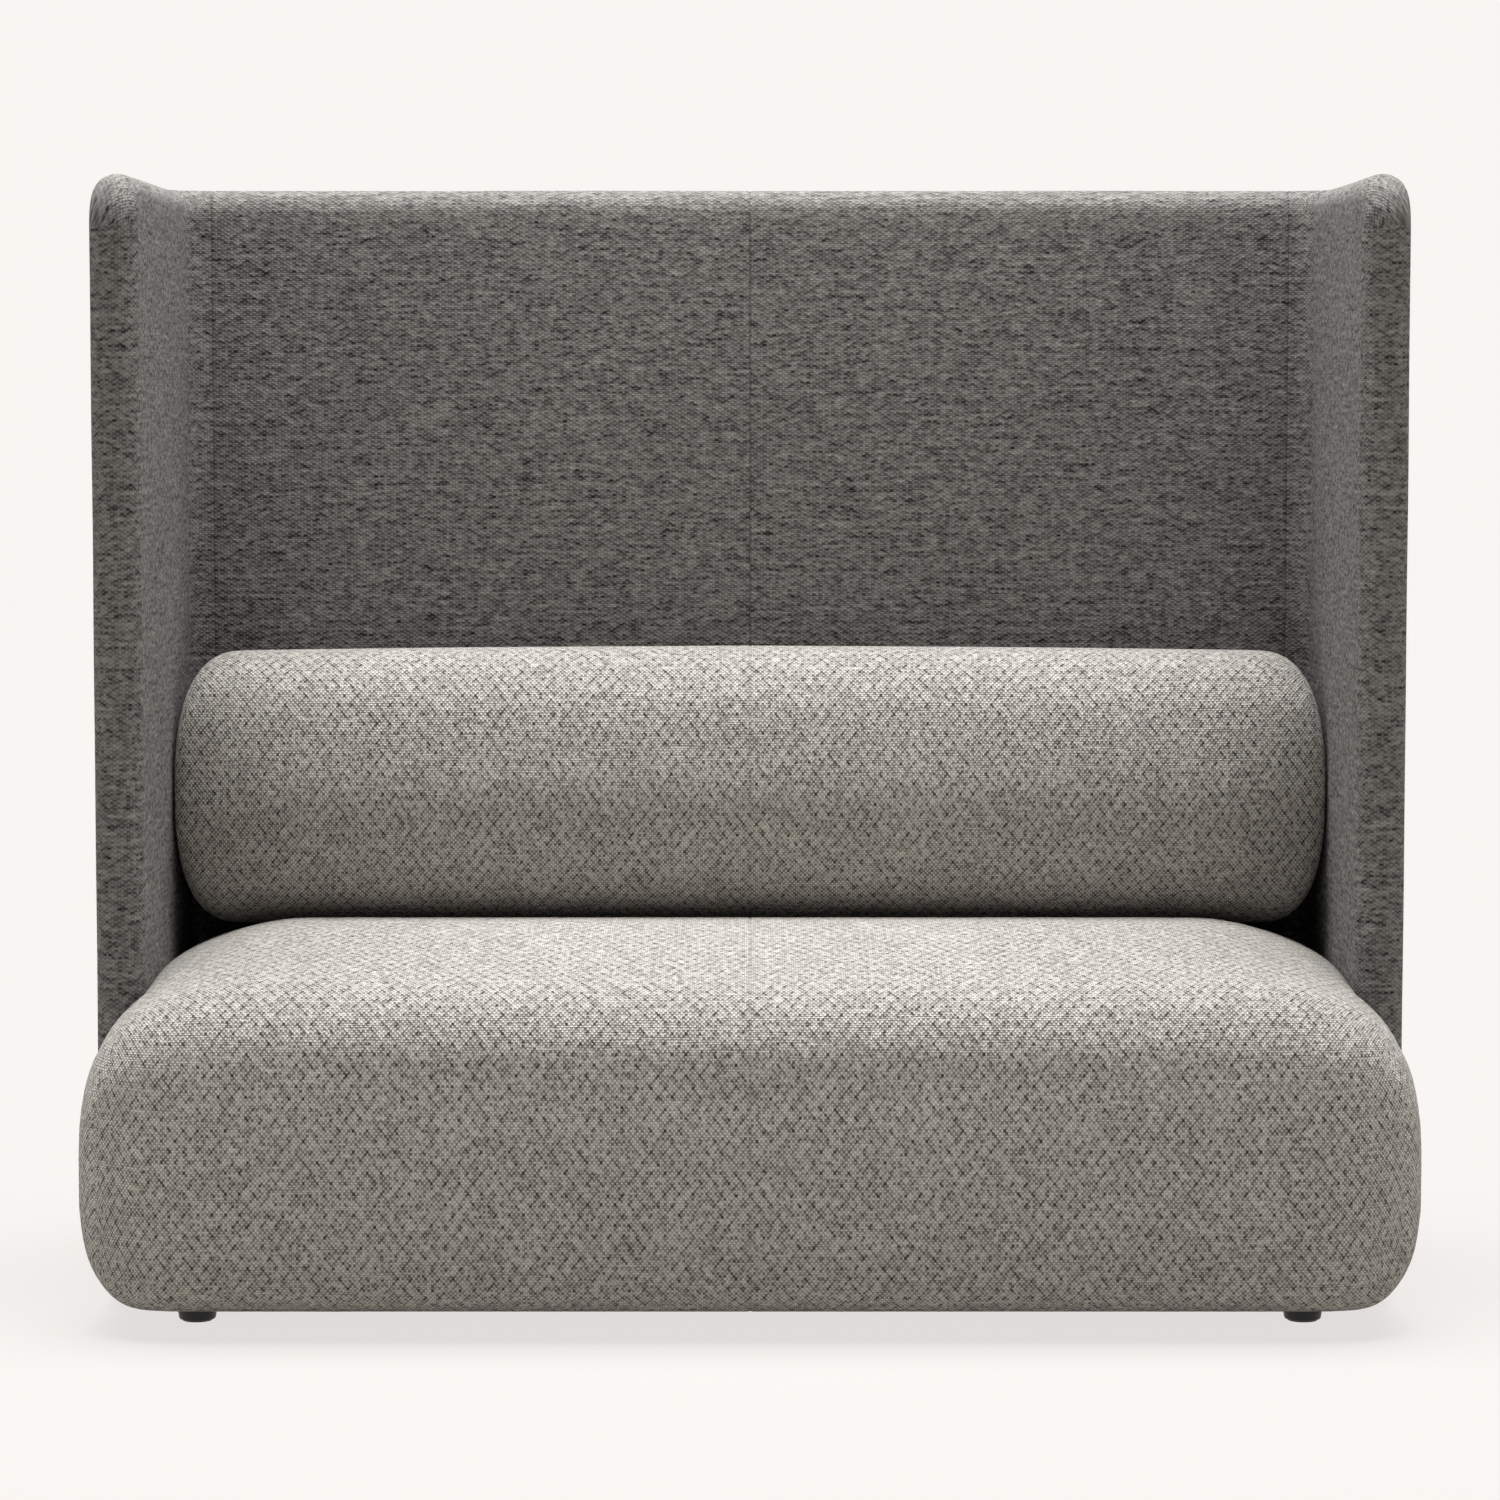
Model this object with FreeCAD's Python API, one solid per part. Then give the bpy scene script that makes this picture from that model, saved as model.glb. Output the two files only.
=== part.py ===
"""High-back two-seater sofa: a pillow-like seat block and a loose bolster inside a U-shaped padded shell.

Frame: X across the sofa with left at minus X, Y from the front (minus) to the back (plus), Z up.
Lengths are in millimetres.
"""
import FreeCAD
import Part
import math
import os

V = FreeCAD.Vector

# Overall sizes
WIDTH = 1600.0
DEPTH = 800.0
HEIGHT = 1390.0

# Clearances
LAYER_GAP = 0.3
WING_GAP = 1.0
DUST_COVER_GAP = 1.0
BASE_COVER_GAP = 0.8
BOLSTER_SIDE_GAP = 2.0
BOLSTER_SEAT_GAP = 0.5
HOLE_CLEARANCE = 0.2
RUNNING_CLEARANCE = 0.05

# Upholstery layers
COVER_THICK = 2.0
WADDING_THICK = 13.0

# Rounded ends of the cushions: degrees of turn between their outlines, and the degree of the loft
END_STEP = 10
LOFT_DEGREE = 3

# Shell: back and wings, round on every edge
SHELL_THICK = 60.0
SHELL_BOTTOM = 32.0
SHELL_CORNER_R = 60.0
WING_SETBACK = 204.0
WING_CORNER_R = 65.0
PANEL_THICK = 18.0
DOWEL_D = 8.0
DOWEL_LENGTH = 40.0
DOWEL_COUNT = 6
DOWEL_END_MARGIN = 90.0

# Seat block: heights and rolls of its outline, and where its ends start to round off
SEAT_UNDERSIDE = 32.0
SEAT_TOP_EDGE = 424.0
SEAT_CROWN_R = 2600.0
SEAT_FRONT_BULGE_R = 1500.0
SEAT_FRONT_TOP_ROLL = 100.0
SEAT_FRONT_LOW_ROLL = 48.0
SEAT_REAR_TOP_ROLL = 25.0
SEAT_REAR_LOW_ROLL_SPARE = 1.2
SEAT_END_TOP_ROLL = 45.0
SEAT_END_LOW_ROLL = 30.0
SEAT_SHOULDER_RUN = 240.0
SEAT_SHOULDER_POWER = 2.6
SEAT_HEEL_RUN = 74.0
SEAT_HEEL_RISE = 107.0
SEAT_END_HEIGHT = 93.0
SEAT_CORNER_RUN = 130.0
SEAT_CORNER_DEPTH = 100.0
TOPPER_DEPTH = 84.0

# Bolster: a long pillow between the wings, against the back
BOLSTER_HEIGHT = 352.0
BOLSTER_DEPTH = 232.0
BOLSTER_ROLL = 95.0
BOLSTER_FACE_R = 420.0
BOLSTER_TOP_R = 260.0
BOLSTER_REAR_GAP = 1.0
BOLSTER_END_RUN = 80.0
BOLSTER_END_POWER = 2.6
BOLSTER_END_HEIGHT = 72.0
BOLSTER_END_FRONT_IN = 20.0
BOLSTER_END_REAR_IN = 70.0
BOLSTER_END_ROLL = 32.0

# Base frame and webbing
RAIL_THICK = 30.0
RAIL_HEIGHT = 150.0
BASE_FRONT_SETBACK = 60.0
BASE_SIDE_SPACE = 15.0
SPACER_D = 50.0
SPACER_PASSAGE_GAP = 1.0
BLOCK_X = 90.0
BLOCK_Y = 130.0
BLOCK_HEIGHT = 30.0
BLOCK_SCREW_D = 4.5
BLOCK_SCREW_HEAD_D = 9.0
BLOCK_SCREW_HEAD_H = 3.0
BLOCK_SCREW_BITE = 20.0
BLOCK_SCREW_SPREAD = 40.0
BLOCK_SCREW_LEVEL = 10.0
BLOCK_SCREW_START = 50.0
BLOCK_SCREW_STAGGER = 10.0
WEB_WIDTH = 50.0
WEB_THICK = 2.0
WEB_LONG_COUNT = 6
WEB_CROSS_COUNT = 14
WEB_EDGE_MARGIN = 10.0
COVER_RETURN = 45.0
DUST_COVER_THICK = 1.0
DUST_COVER_INSET = 20.0

# Shell bolts, M8, with washers and tee nuts
BOLT_D = 8.0
BOLT_HEAD_AF = 13.0
BOLT_HEAD_H = 5.3
WASHER_D = 24.0
WASHER_THICK = 2.0
TEE_BARREL_D = 10.0
TEE_BARREL_LENGTH = 12.0
TEE_FLANGE_D = 22.0
TEE_FLANGE_THICK = 1.6
WING_BOLT_FRONT_MARGIN = 76.0
WING_BOLT_REAR_MARGIN = 105.0
BACK_BOLT_COUNT = 4
BACK_BOLT_SIDE_MARGIN = 215.0

# Feet: a tapered foot on a threaded stud, turning on a glide
FOOT_INSET_X = 53.0
FOOT_INSET_Y = 100.0
FOOT_TOP_D = 53.0
FOOT_BOTTOM_D = 44.0
FOOT_EDGE_R = 3.0
FOOT_TRAVEL = 10.0
GLIDE_D = 36.0
GLIDE_THICK = 4.0
GLIDE_PROUD = 1.5
GLIDE_PIN_D = 12.0
GLIDE_PIN_LENGTH = 6.0
STUD_D = 8.0
STUD_BED = 14.0
STUD_SPARE = 3.0

# Places worked out from the sizes above
HALF_WIDTH = WIDTH / 2
FRONT_Y = -DEPTH / 2
BACK_Y = DEPTH / 2
SHELL_R = SHELL_THICK / 2
SHELL_MID_X = HALF_WIDTH - SHELL_R
SHELL_MID_Y = BACK_Y - SHELL_R
SHELL_MID_TOP = HEIGHT - SHELL_R
SHELL_MID_BOTTOM = SHELL_BOTTOM + SHELL_R
WING_MID_FRONT = FRONT_Y + WING_SETBACK + SHELL_R
WING_MID_CORNER_R = WING_CORNER_R - SHELL_R
CORNER_X = SHELL_MID_X - SHELL_CORNER_R
CORNER_Y = SHELL_MID_Y - SHELL_CORNER_R
INSIDE_X = SHELL_MID_X - SHELL_R
INSIDE_Y = SHELL_MID_Y - SHELL_R
SEAT_SHOULDER_DROP = SEAT_TOP_EDGE - SEAT_UNDERSIDE - SEAT_HEEL_RISE - SEAT_END_HEIGHT
TOPPER_BOTTOM = SEAT_TOP_EDGE - TOPPER_DEPTH
SEAT_INSIDE_X = INSIDE_X - WING_GAP
SEAT_EAR_Y = FRONT_Y + WING_SETBACK - WING_GAP
SEAT_REAR_Y = INSIDE_Y - WING_GAP
WADDING_OUTSIDE = COVER_THICK + LAYER_GAP
FOAM_OUTSIDE = WADDING_OUTSIDE + WADDING_THICK
SEAT_REAR_LOW_ROLL = FOAM_OUTSIDE + SEAT_REAR_LOW_ROLL_SPARE
SPACER_LENGTH = SHELL_R - PANEL_THICK / 2 + BASE_SIDE_SPACE
BASE_X = SHELL_MID_X - PANEL_THICK / 2 - SPACER_LENGTH
BASE_REAR_Y = SHELL_MID_Y - PANEL_THICK / 2 - SPACER_LENGTH
BASE_FRONT_Y = FRONT_Y + BASE_FRONT_SETBACK
BASE_BOTTOM = SEAT_UNDERSIDE + COVER_THICK + BASE_COVER_GAP
BASE_TOP = BASE_BOTTOM + RAIL_HEIGHT
WEB_TOP = BASE_TOP + 2 * WEB_THICK
RAIL_INNER_X = BASE_X - RAIL_THICK
RAIL_INNER_FRONT = BASE_FRONT_Y + RAIL_THICK
RAIL_INNER_REAR = BASE_REAR_Y - RAIL_THICK
BOLT_LEVEL = BASE_BOTTOM + RAIL_HEIGHT / 2
BACK_BOLT_REACH = RAIL_INNER_X - BACK_BOLT_SIDE_MARGIN
DUST_COVER_TOP = SEAT_UNDERSIDE - DUST_COVER_GAP
FOOT_TOP = DUST_COVER_TOP - DUST_COVER_THICK - LAYER_GAP
STUD_TOP = BASE_BOTTOM + BLOCK_HEIGHT + TEE_FLANGE_THICK + FOOT_TRAVEL + STUD_SPARE
ENOUGH = 2 * max(WIDTH, DEPTH, HEIGHT)


def box(x0, x1, y0, y1, z0, z1):
    """A box from its limits."""
    return Part.makeBox(x1 - x0, y1 - y0, z1 - z0, V(x0, y0, z0))


def rod(diameter, start, direction, length):
    """A cylinder from a point, along a direction."""
    return Part.makeCylinder(diameter / 2, length, V(*start), V(*direction))


def joined(shapes):
    """One solid from pieces that share faces."""
    return shapes[0].multiFuse(shapes[1:]).removeSplitter()


def group(shapes):
    """Separate solids in one node."""
    return Part.makeCompound(shapes)


def save(name, shape):
    """Write one node."""
    shape.exportStep("parts/" + name + ".step")


# Soft forms

def side_circle(roll_a, roll_b, radius):
    """Centre of the large arc that lies outside two corner rolls, touching both, on the right of a to b."""
    ax, az, ar = roll_a
    bx, bz, br = roll_b
    reach_a = radius - ar
    reach_b = radius - br
    span = math.hypot(bx - ax, bz - az)
    along = (span * span + reach_a * reach_a - reach_b * reach_b) / (2 * span)
    across = math.sqrt(reach_a * reach_a - along * along)
    ux = (bx - ax) / span
    uz = (bz - az) / span
    return ax + ux * along + uz * across, az + uz * along - ux * across


def rim_point(centre, toward, radius):
    """The point on a circle in the direction of a vector."""
    size = math.hypot(*toward)
    return centre[0] + toward[0] / size * radius, centre[1] + toward[1] / size * radius


def touch_points(roll_a, roll_b, radius):
    """Where a side leaves roll a and meets roll b, with a point half way; no radius means a straight side."""
    if radius is None:
        span = (roll_b[0] - roll_a[0], roll_b[1] - roll_a[1])
        distance = math.hypot(*span)
        lean = (roll_a[2] - roll_b[2]) / distance
        upright = math.sqrt(1 - lean * lean)
        normal = (span[0] * lean - span[1] * upright, span[1] * lean + span[0] * upright)
        return rim_point(roll_a, normal, roll_a[2]), None, rim_point(roll_b, normal, roll_b[2])
    centre = side_circle(roll_a, roll_b, radius)
    out_a = (roll_a[0] - centre[0], roll_a[1] - centre[1])
    out_b = (roll_b[0] - centre[0], roll_b[1] - centre[1])
    unit_a = rim_point((0.0, 0.0), out_a, 1.0)
    unit_b = rim_point((0.0, 0.0), out_b, 1.0)
    middle = rim_point(centre, (unit_a[0] + unit_b[0], unit_a[1] + unit_b[1]), radius)
    return rim_point(roll_a, out_a, roll_a[2]), middle, rim_point(roll_b, out_b, roll_b[2])


def cushion_outline(x, rolls, side_radii):
    """Smooth closed outline in the plane at x: four corner rolls joined by four sides, clockwise."""
    sides = []
    for index, radius in enumerate(side_radii):
        sides.append(touch_points(rolls[index], rolls[(index + 1) % 4], radius))
    edges = []
    for index, (start, middle, end) in enumerate(sides):
        if middle is None:
            edges.append(Part.LineSegment(V(x, *start), V(x, *end)).toShape())
        else:
            edges.append(Part.Arc(V(x, *start), V(x, *middle), V(x, *end)).toShape())
        roll = rolls[(index + 1) % 4]
        after = sides[(index + 1) % 4][0]
        outward = (end[0] + after[0] - 2 * roll[0], end[1] + after[1] - 2 * roll[1])
        corner = rim_point(roll, outward, roll[2])
        edges.append(Part.Arc(V(x, *end), V(x, *corner), V(x, *after)).toShape())
    return Part.Wire(edges)


def eased(share, power):
    """From 1 down to 0 along a rounded shoulder, as share goes from 0 to 1."""
    held = min(max(share, 0.0), 1.0)
    return (1 - held ** power) ** (1 / power)


def end_stations(half_length, run):
    """Places along X where a rounded end's outlines are set, starting in the straight stretch before it."""
    straight = half_length - run
    turns = range(-2 * END_STEP, 90 + END_STEP, END_STEP)
    return [straight + run * math.sin(math.radians(turn)) for turn in turns]


def seat_rolls(x):
    """The seat's corner rolls at x, as centre Y, centre Z and radius, from low front round to low rear."""
    from_middle = abs(x)
    shoulder = eased((from_middle - HALF_WIDTH + SEAT_SHOULDER_RUN) / SEAT_SHOULDER_RUN, SEAT_SHOULDER_POWER)
    heel = eased((from_middle - HALF_WIDTH + SEAT_HEEL_RUN) / SEAT_HEEL_RUN, 2)
    corner = eased((from_middle - HALF_WIDTH + SEAT_CORNER_RUN) / SEAT_CORNER_RUN, 2)
    top = SEAT_TOP_EDGE - SEAT_SHOULDER_DROP * (1 - shoulder)
    bottom = SEAT_UNDERSIDE + SEAT_HEEL_RISE * (1 - heel)
    front = SEAT_FRONT_EDGE + SEAT_CORNER_DEPTH * (1 - corner)
    top_roll = SEAT_END_TOP_ROLL + (SEAT_FRONT_TOP_ROLL - SEAT_END_TOP_ROLL) * shoulder
    low_roll = SEAT_END_LOW_ROLL + (SEAT_FRONT_LOW_ROLL - SEAT_END_LOW_ROLL) * heel
    return [
        (front + low_roll, bottom + low_roll, low_roll),
        (front + top_roll, top - top_roll, top_roll),
        (SEAT_REAR_Y - SEAT_REAR_TOP_ROLL, top - SEAT_REAR_TOP_ROLL, SEAT_REAR_TOP_ROLL),
        (SEAT_REAR_Y - SEAT_REAR_LOW_ROLL, bottom + SEAT_REAR_LOW_ROLL, SEAT_REAR_LOW_ROLL),
    ]


def front_bulge():
    """How far the seat's front swells out past its two front rolls."""
    low = (SEAT_FRONT_LOW_ROLL, SEAT_UNDERSIDE + SEAT_FRONT_LOW_ROLL, SEAT_FRONT_LOW_ROLL)
    high = (SEAT_FRONT_TOP_ROLL, SEAT_TOP_EDGE - SEAT_FRONT_TOP_ROLL, SEAT_FRONT_TOP_ROLL)
    centre = side_circle(low, high, SEAT_FRONT_BULGE_R)
    return SEAT_FRONT_BULGE_R - centre[0]


def height_on_crown(y, radius):
    """Centre height of an arc of this radius, with its centre at y, that rests on the seat's crowned top."""
    rolls = seat_rolls(0.0)
    crown = side_circle(rolls[1], rolls[2], SEAT_CROWN_R)
    reach = SEAT_CROWN_R + BOLSTER_SEAT_GAP + radius
    return crown[1] + math.sqrt(reach ** 2 - (y - crown[0]) ** 2)


def bolster_rolls(x):
    """The bolster's corner rolls at x, in the same order as the seat's."""
    share = (abs(x) - BOLSTER_HALF_LENGTH + BOLSTER_END_RUN) / BOLSTER_END_RUN
    fullness = eased(share, BOLSTER_END_POWER)
    drop = (BOLSTER_HEIGHT - BOLSTER_END_HEIGHT) / 2 * (1 - fullness)
    roll = BOLSTER_END_ROLL + (BOLSTER_ROLL - BOLSTER_END_ROLL) * fullness
    front = BOLSTER_FRONT_Y + BOLSTER_END_FRONT_IN * (1 - fullness) + roll
    rear = BOLSTER_REAR_Y - BOLSTER_END_REAR_IN * (1 - fullness) - roll
    low = BOLSTER_BOTTOM + drop + roll
    high = BOLSTER_TOP - drop - roll
    return [(front, low, roll), (front, high, roll), (rear, high, roll), (rear, low, roll)]


def soft_solid(half_length, run, rolls_at, side_radii, inset):
    """A cushion form drawn in by inset all round: a straight middle and two lofted, rounded ends."""
    radii = [None if radius is None else radius - inset for radius in side_radii]
    outlines = []
    for place in end_stations(half_length, run):
        rolls = [(y, z, radius - inset) for y, z, radius in rolls_at(place)]
        outlines.append(cushion_outline(place * (half_length - inset) / half_length, rolls, radii))
    right = Part.makeLoft(outlines, True, False, False, LOFT_DEGREE)
    left = right.mirror(V(0, 0, 0), V(1, 0, 0))
    start = Part.Face(outlines[0])
    middle = start.extrude(V(-2 * start.CenterOfMass.x, 0, 0))
    return left.multiFuse([middle, right])


def seat_plan(inset):
    """The room that the seat block takes: all of the front, then between the wings to the round corners."""
    side_x = SEAT_INSIDE_X - inset
    rear_y = SEAT_REAR_Y - inset
    ear_y = SEAT_EAR_Y - inset
    bend = (side_x - CORNER_X) * math.sqrt(0.5)
    points = [
        V(-side_x, ear_y, 0),
        V(-side_x, CORNER_Y, 0),
        V(-CORNER_X - bend, CORNER_Y + bend, 0),
        V(-CORNER_X, rear_y, 0),
        V(CORNER_X, rear_y, 0),
        V(CORNER_X + bend, CORNER_Y + bend, 0),
        V(side_x, CORNER_Y, 0),
        V(side_x, ear_y, 0),
    ]
    edges = [
        Part.LineSegment(points[0], points[1]),
        Part.Arc(points[1], points[2], points[3]),
        Part.LineSegment(points[3], points[4]),
        Part.Arc(points[4], points[5], points[6]),
        Part.LineSegment(points[6], points[7]),
        Part.LineSegment(points[7], points[0]),
    ]
    between = Part.Face(Part.Wire([edge.toShape() for edge in edges])).extrude(V(0, 0, HEIGHT))
    in_front = box(-ENOUGH, ENOUGH, -ENOUGH, ear_y, 0, HEIGHT)
    return between.fuse(in_front)


def seat_form(inset):
    """The seat block: full width in front of the wings, cut back to pass between them."""
    radii = (SEAT_FRONT_BULGE_R, SEAT_CROWN_R, None, None)
    form = soft_solid(HALF_WIDTH, SEAT_SHOULDER_RUN, seat_rolls, radii, inset)
    return form.common(seat_plan(inset))


def bolster_form(inset):
    """The bolster's pillow."""
    radii = (BOLSTER_FACE_R, BOLSTER_TOP_R, BOLSTER_FACE_R, BOLSTER_TOP_R)
    return soft_solid(BOLSTER_HALF_LENGTH, BOLSTER_END_RUN, bolster_rolls, radii, inset)


def bolster_swell(span, side_radius):
    """How far one of the bolster's sides swells out past its rolls."""
    reach = side_radius - BOLSTER_ROLL
    return reach - math.sqrt(reach ** 2 - (span / 2) ** 2)


SEAT_FRONT_EDGE = FRONT_Y + front_bulge()
BOLSTER_HALF_LENGTH = INSIDE_X - BOLSTER_SIDE_GAP
BOLSTER_FACE_SWELL = bolster_swell(BOLSTER_HEIGHT - 2 * BOLSTER_ROLL, BOLSTER_FACE_R)
BOLSTER_TOP_SWELL = bolster_swell(BOLSTER_DEPTH - 2 * BOLSTER_ROLL, BOLSTER_TOP_R)
BOLSTER_REAR_Y = INSIDE_Y - BOLSTER_REAR_GAP - BOLSTER_FACE_SWELL
BOLSTER_FRONT_Y = BOLSTER_REAR_Y - BOLSTER_DEPTH
BOLSTER_MID_Y = (BOLSTER_FRONT_Y + BOLSTER_REAR_Y) / 2
BOLSTER_BOTTOM = height_on_crown(BOLSTER_MID_Y, BOLSTER_TOP_R) - BOLSTER_TOP_R + BOLSTER_TOP_SWELL
BOLSTER_TOP = BOLSTER_BOTTOM + BOLSTER_HEIGHT


# Shell

def stadium(at, level_a, level_b, radius, along_x):
    """Upright slot-shaped face of a wall's section at a point, in the plane across X or across Y."""
    def place(side, level):
        offset = V(0, side, 0) if along_x else V(side, 0, 0)
        return V(at[0], at[1], level) + offset
    low_arc = Part.Arc(place(-radius, level_a), place(0, level_a - radius), place(radius, level_a))
    right = Part.LineSegment(place(radius, level_a), place(radius, level_b))
    high_arc = Part.Arc(place(radius, level_b), place(0, level_b + radius), place(-radius, level_b))
    left = Part.LineSegment(place(-radius, level_b), place(-radius, level_a))
    return Part.Face(Part.Wire([edge.toShape() for edge in (low_arc, right, high_arc, left)]))


def wing_nose(side, level, radius):
    """Flat plan face of a wing's rounded front edge at a level."""
    mid_x = side * SHELL_MID_X
    behind = WING_MID_FRONT + WING_MID_CORNER_R
    corners = [
        V(mid_x - radius, behind, level),
        V(mid_x - radius, WING_MID_FRONT, level),
        V(mid_x, WING_MID_FRONT - radius, level),
        V(mid_x + radius, WING_MID_FRONT, level),
        V(mid_x + radius, behind, level),
    ]
    edges = [
        Part.LineSegment(corners[0], corners[1]),
        Part.Arc(corners[1], corners[2], corners[3]),
        Part.LineSegment(corners[3], corners[4]),
        Part.LineSegment(corners[4], corners[0]),
    ]
    return Part.Face(Part.Wire([edge.toShape() for edge in edges]))


def shell_form(radius):
    """The shell's wall at a given half thickness, with the same middle surface and round edges throughout."""
    low = SHELL_MID_BOTTOM
    high = SHELL_MID_TOP
    nose_low = low + WING_MID_CORNER_R
    nose_high = high - WING_MID_CORNER_R
    nose_back = WING_MID_FRONT + WING_MID_CORNER_R
    back = stadium((-CORNER_X, SHELL_MID_Y), low, high, radius, True).extrude(V(2 * CORNER_X, 0, 0))
    pieces = [back]
    for side in (-1, 1):
        bend = stadium((side * CORNER_X, SHELL_MID_Y), low, high, radius, True)
        pieces.append(bend.revolve(V(side * CORNER_X, CORNER_Y, 0), V(0, 0, 1), -90 * side))
        wall = stadium((side * SHELL_MID_X, CORNER_Y), low, high, radius, False)
        pieces.append(wall.extrude(V(0, nose_back - CORNER_Y, 0)))
        pieces.append(wing_nose(side, nose_low, radius).extrude(V(0, 0, nose_high - nose_low)))
        pieces.append(wing_nose(side, nose_high, radius).revolve(V(0, nose_back, nose_high), V(1, 0, 0), -90))
        pieces.append(wing_nose(side, nose_low, radius).revolve(V(0, nose_back, nose_low), V(1, 0, 0), 90))
    return joined(pieces)


def wing_panel(side):
    """A wing's board, rounded at its two front corners."""
    x0 = side * SHELL_MID_X - PANEL_THICK / 2
    board = box(x0, x0 + PANEL_THICK, WING_MID_FRONT, CORNER_Y, SHELL_MID_BOTTOM, SHELL_MID_TOP)
    front_edges = []
    for edge in board.Edges:
        middle = edge.CenterOfMass
        along_x = abs(edge.Vertexes[0].X - edge.Vertexes[1].X) > PANEL_THICK / 2
        if along_x and abs(middle.y - WING_MID_FRONT) < LAYER_GAP:
            front_edges.append(edge)
    return board.makeFillet(WING_MID_CORNER_R, front_edges)


def corner_post(side):
    """The bent board that joins the back to a wing."""
    half = PANEL_THICK / 2
    wall = box(
        side * CORNER_X, side * CORNER_X + LAYER_GAP,
        SHELL_MID_Y - half, SHELL_MID_Y + half, SHELL_MID_BOTTOM, SHELL_MID_TOP,
    )
    start = [face for face in wall.Faces if abs(face.CenterOfMass.x - side * CORNER_X) < LAYER_GAP / 4][0]
    return start.revolve(V(side * CORNER_X, CORNER_Y, 0), V(0, 0, 1), -90 * side)


def dowel_levels():
    """Heights of the dowels in each shell joint."""
    low = SHELL_MID_BOTTOM + DOWEL_END_MARGIN
    step = (SHELL_MID_TOP - DOWEL_END_MARGIN - low) / (DOWEL_COUNT - 1)
    return [low + step * index for index in range(DOWEL_COUNT)]


def dowels(growth):
    """The dowels across the four joints between the boards, or the holes for them when grown."""
    found = []
    length = DOWEL_LENGTH + 2 * growth
    for side in (-1, 1):
        for level in dowel_levels():
            back_start = (side * CORNER_X - length / 2, SHELL_MID_Y, level)
            found.append(rod(DOWEL_D + 2 * growth, back_start, (1, 0, 0), length))
            wing_start = (side * SHELL_MID_X, CORNER_Y - length / 2, level)
            found.append(rod(DOWEL_D + 2 * growth, wing_start, (0, 1, 0), length))
    return found


# Fasteners

def at_shell_bolts(shape):
    """Copies of a shape made along X from the rail's inner face, at every shell bolt."""
    copies = []
    for side, turn in ((-1, 180), (1, 0)):
        for y in (WING_MID_FRONT + WING_BOLT_FRONT_MARGIN, RAIL_INNER_REAR - WING_BOLT_REAR_MARGIN):
            copies.append(placed(shape, V(side * RAIL_INNER_X, y, BOLT_LEVEL), turn))
    step = 2 * BACK_BOLT_REACH / (BACK_BOLT_COUNT - 1)
    for index in range(BACK_BOLT_COUNT):
        copies.append(placed(shape, V(step * index - BACK_BOLT_REACH, RAIL_INNER_REAR, BOLT_LEVEL), 90))
    return copies


def placed(shape, point, turn):
    """A copy turned about Z and moved to a point."""
    copy = shape.copy()
    copy.rotate(V(0, 0, 0), V(0, 0, 1), turn)
    copy.translate(point)
    return copy


def hexagon(across_flats, start_x, length):
    """A hexagonal prism along X."""
    reach = across_flats / math.sqrt(3)
    corners = []
    for index in range(7):
        angle = math.radians(60 * index)
        corners.append(V(start_x, reach * math.cos(angle), reach * math.sin(angle)))
    return Part.Face(Part.makePolygon(corners)).extrude(V(length, 0, 0))


def tee_nut():
    """A tee nut along X: its flange starts at zero and its barrel points the other way."""
    flange = rod(TEE_FLANGE_D, (0, 0, 0), (1, 0, 0), TEE_FLANGE_THICK)
    barrel = rod(TEE_BARREL_D, (-TEE_BARREL_LENGTH, 0, 0), (1, 0, 0), TEE_BARREL_LENGTH)
    through = TEE_BARREL_LENGTH + TEE_FLANGE_THICK
    bore = rod(BOLT_D + 2 * RUNNING_CLEARANCE, (-TEE_BARREL_LENGTH, 0, 0), (1, 0, 0), through)
    return joined([flange, barrel]).cut(bore)


def foot_places():
    """Names and places of the four feet."""
    places = []
    for depth_name, y in (("front", BASE_FRONT_Y + FOOT_INSET_Y), ("rear", BASE_REAR_Y - FOOT_INSET_Y)):
        for side_name, side in (("left", -1), ("right", 1)):
            places.append((depth_name + "_" + side_name, side * (BASE_X - FOOT_INSET_X), y))
    return places


def at_feet(shape):
    """Copies of a shape at every foot."""
    return [placed(shape, V(x, y, 0), 0) for name, x, y in foot_places()]


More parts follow.
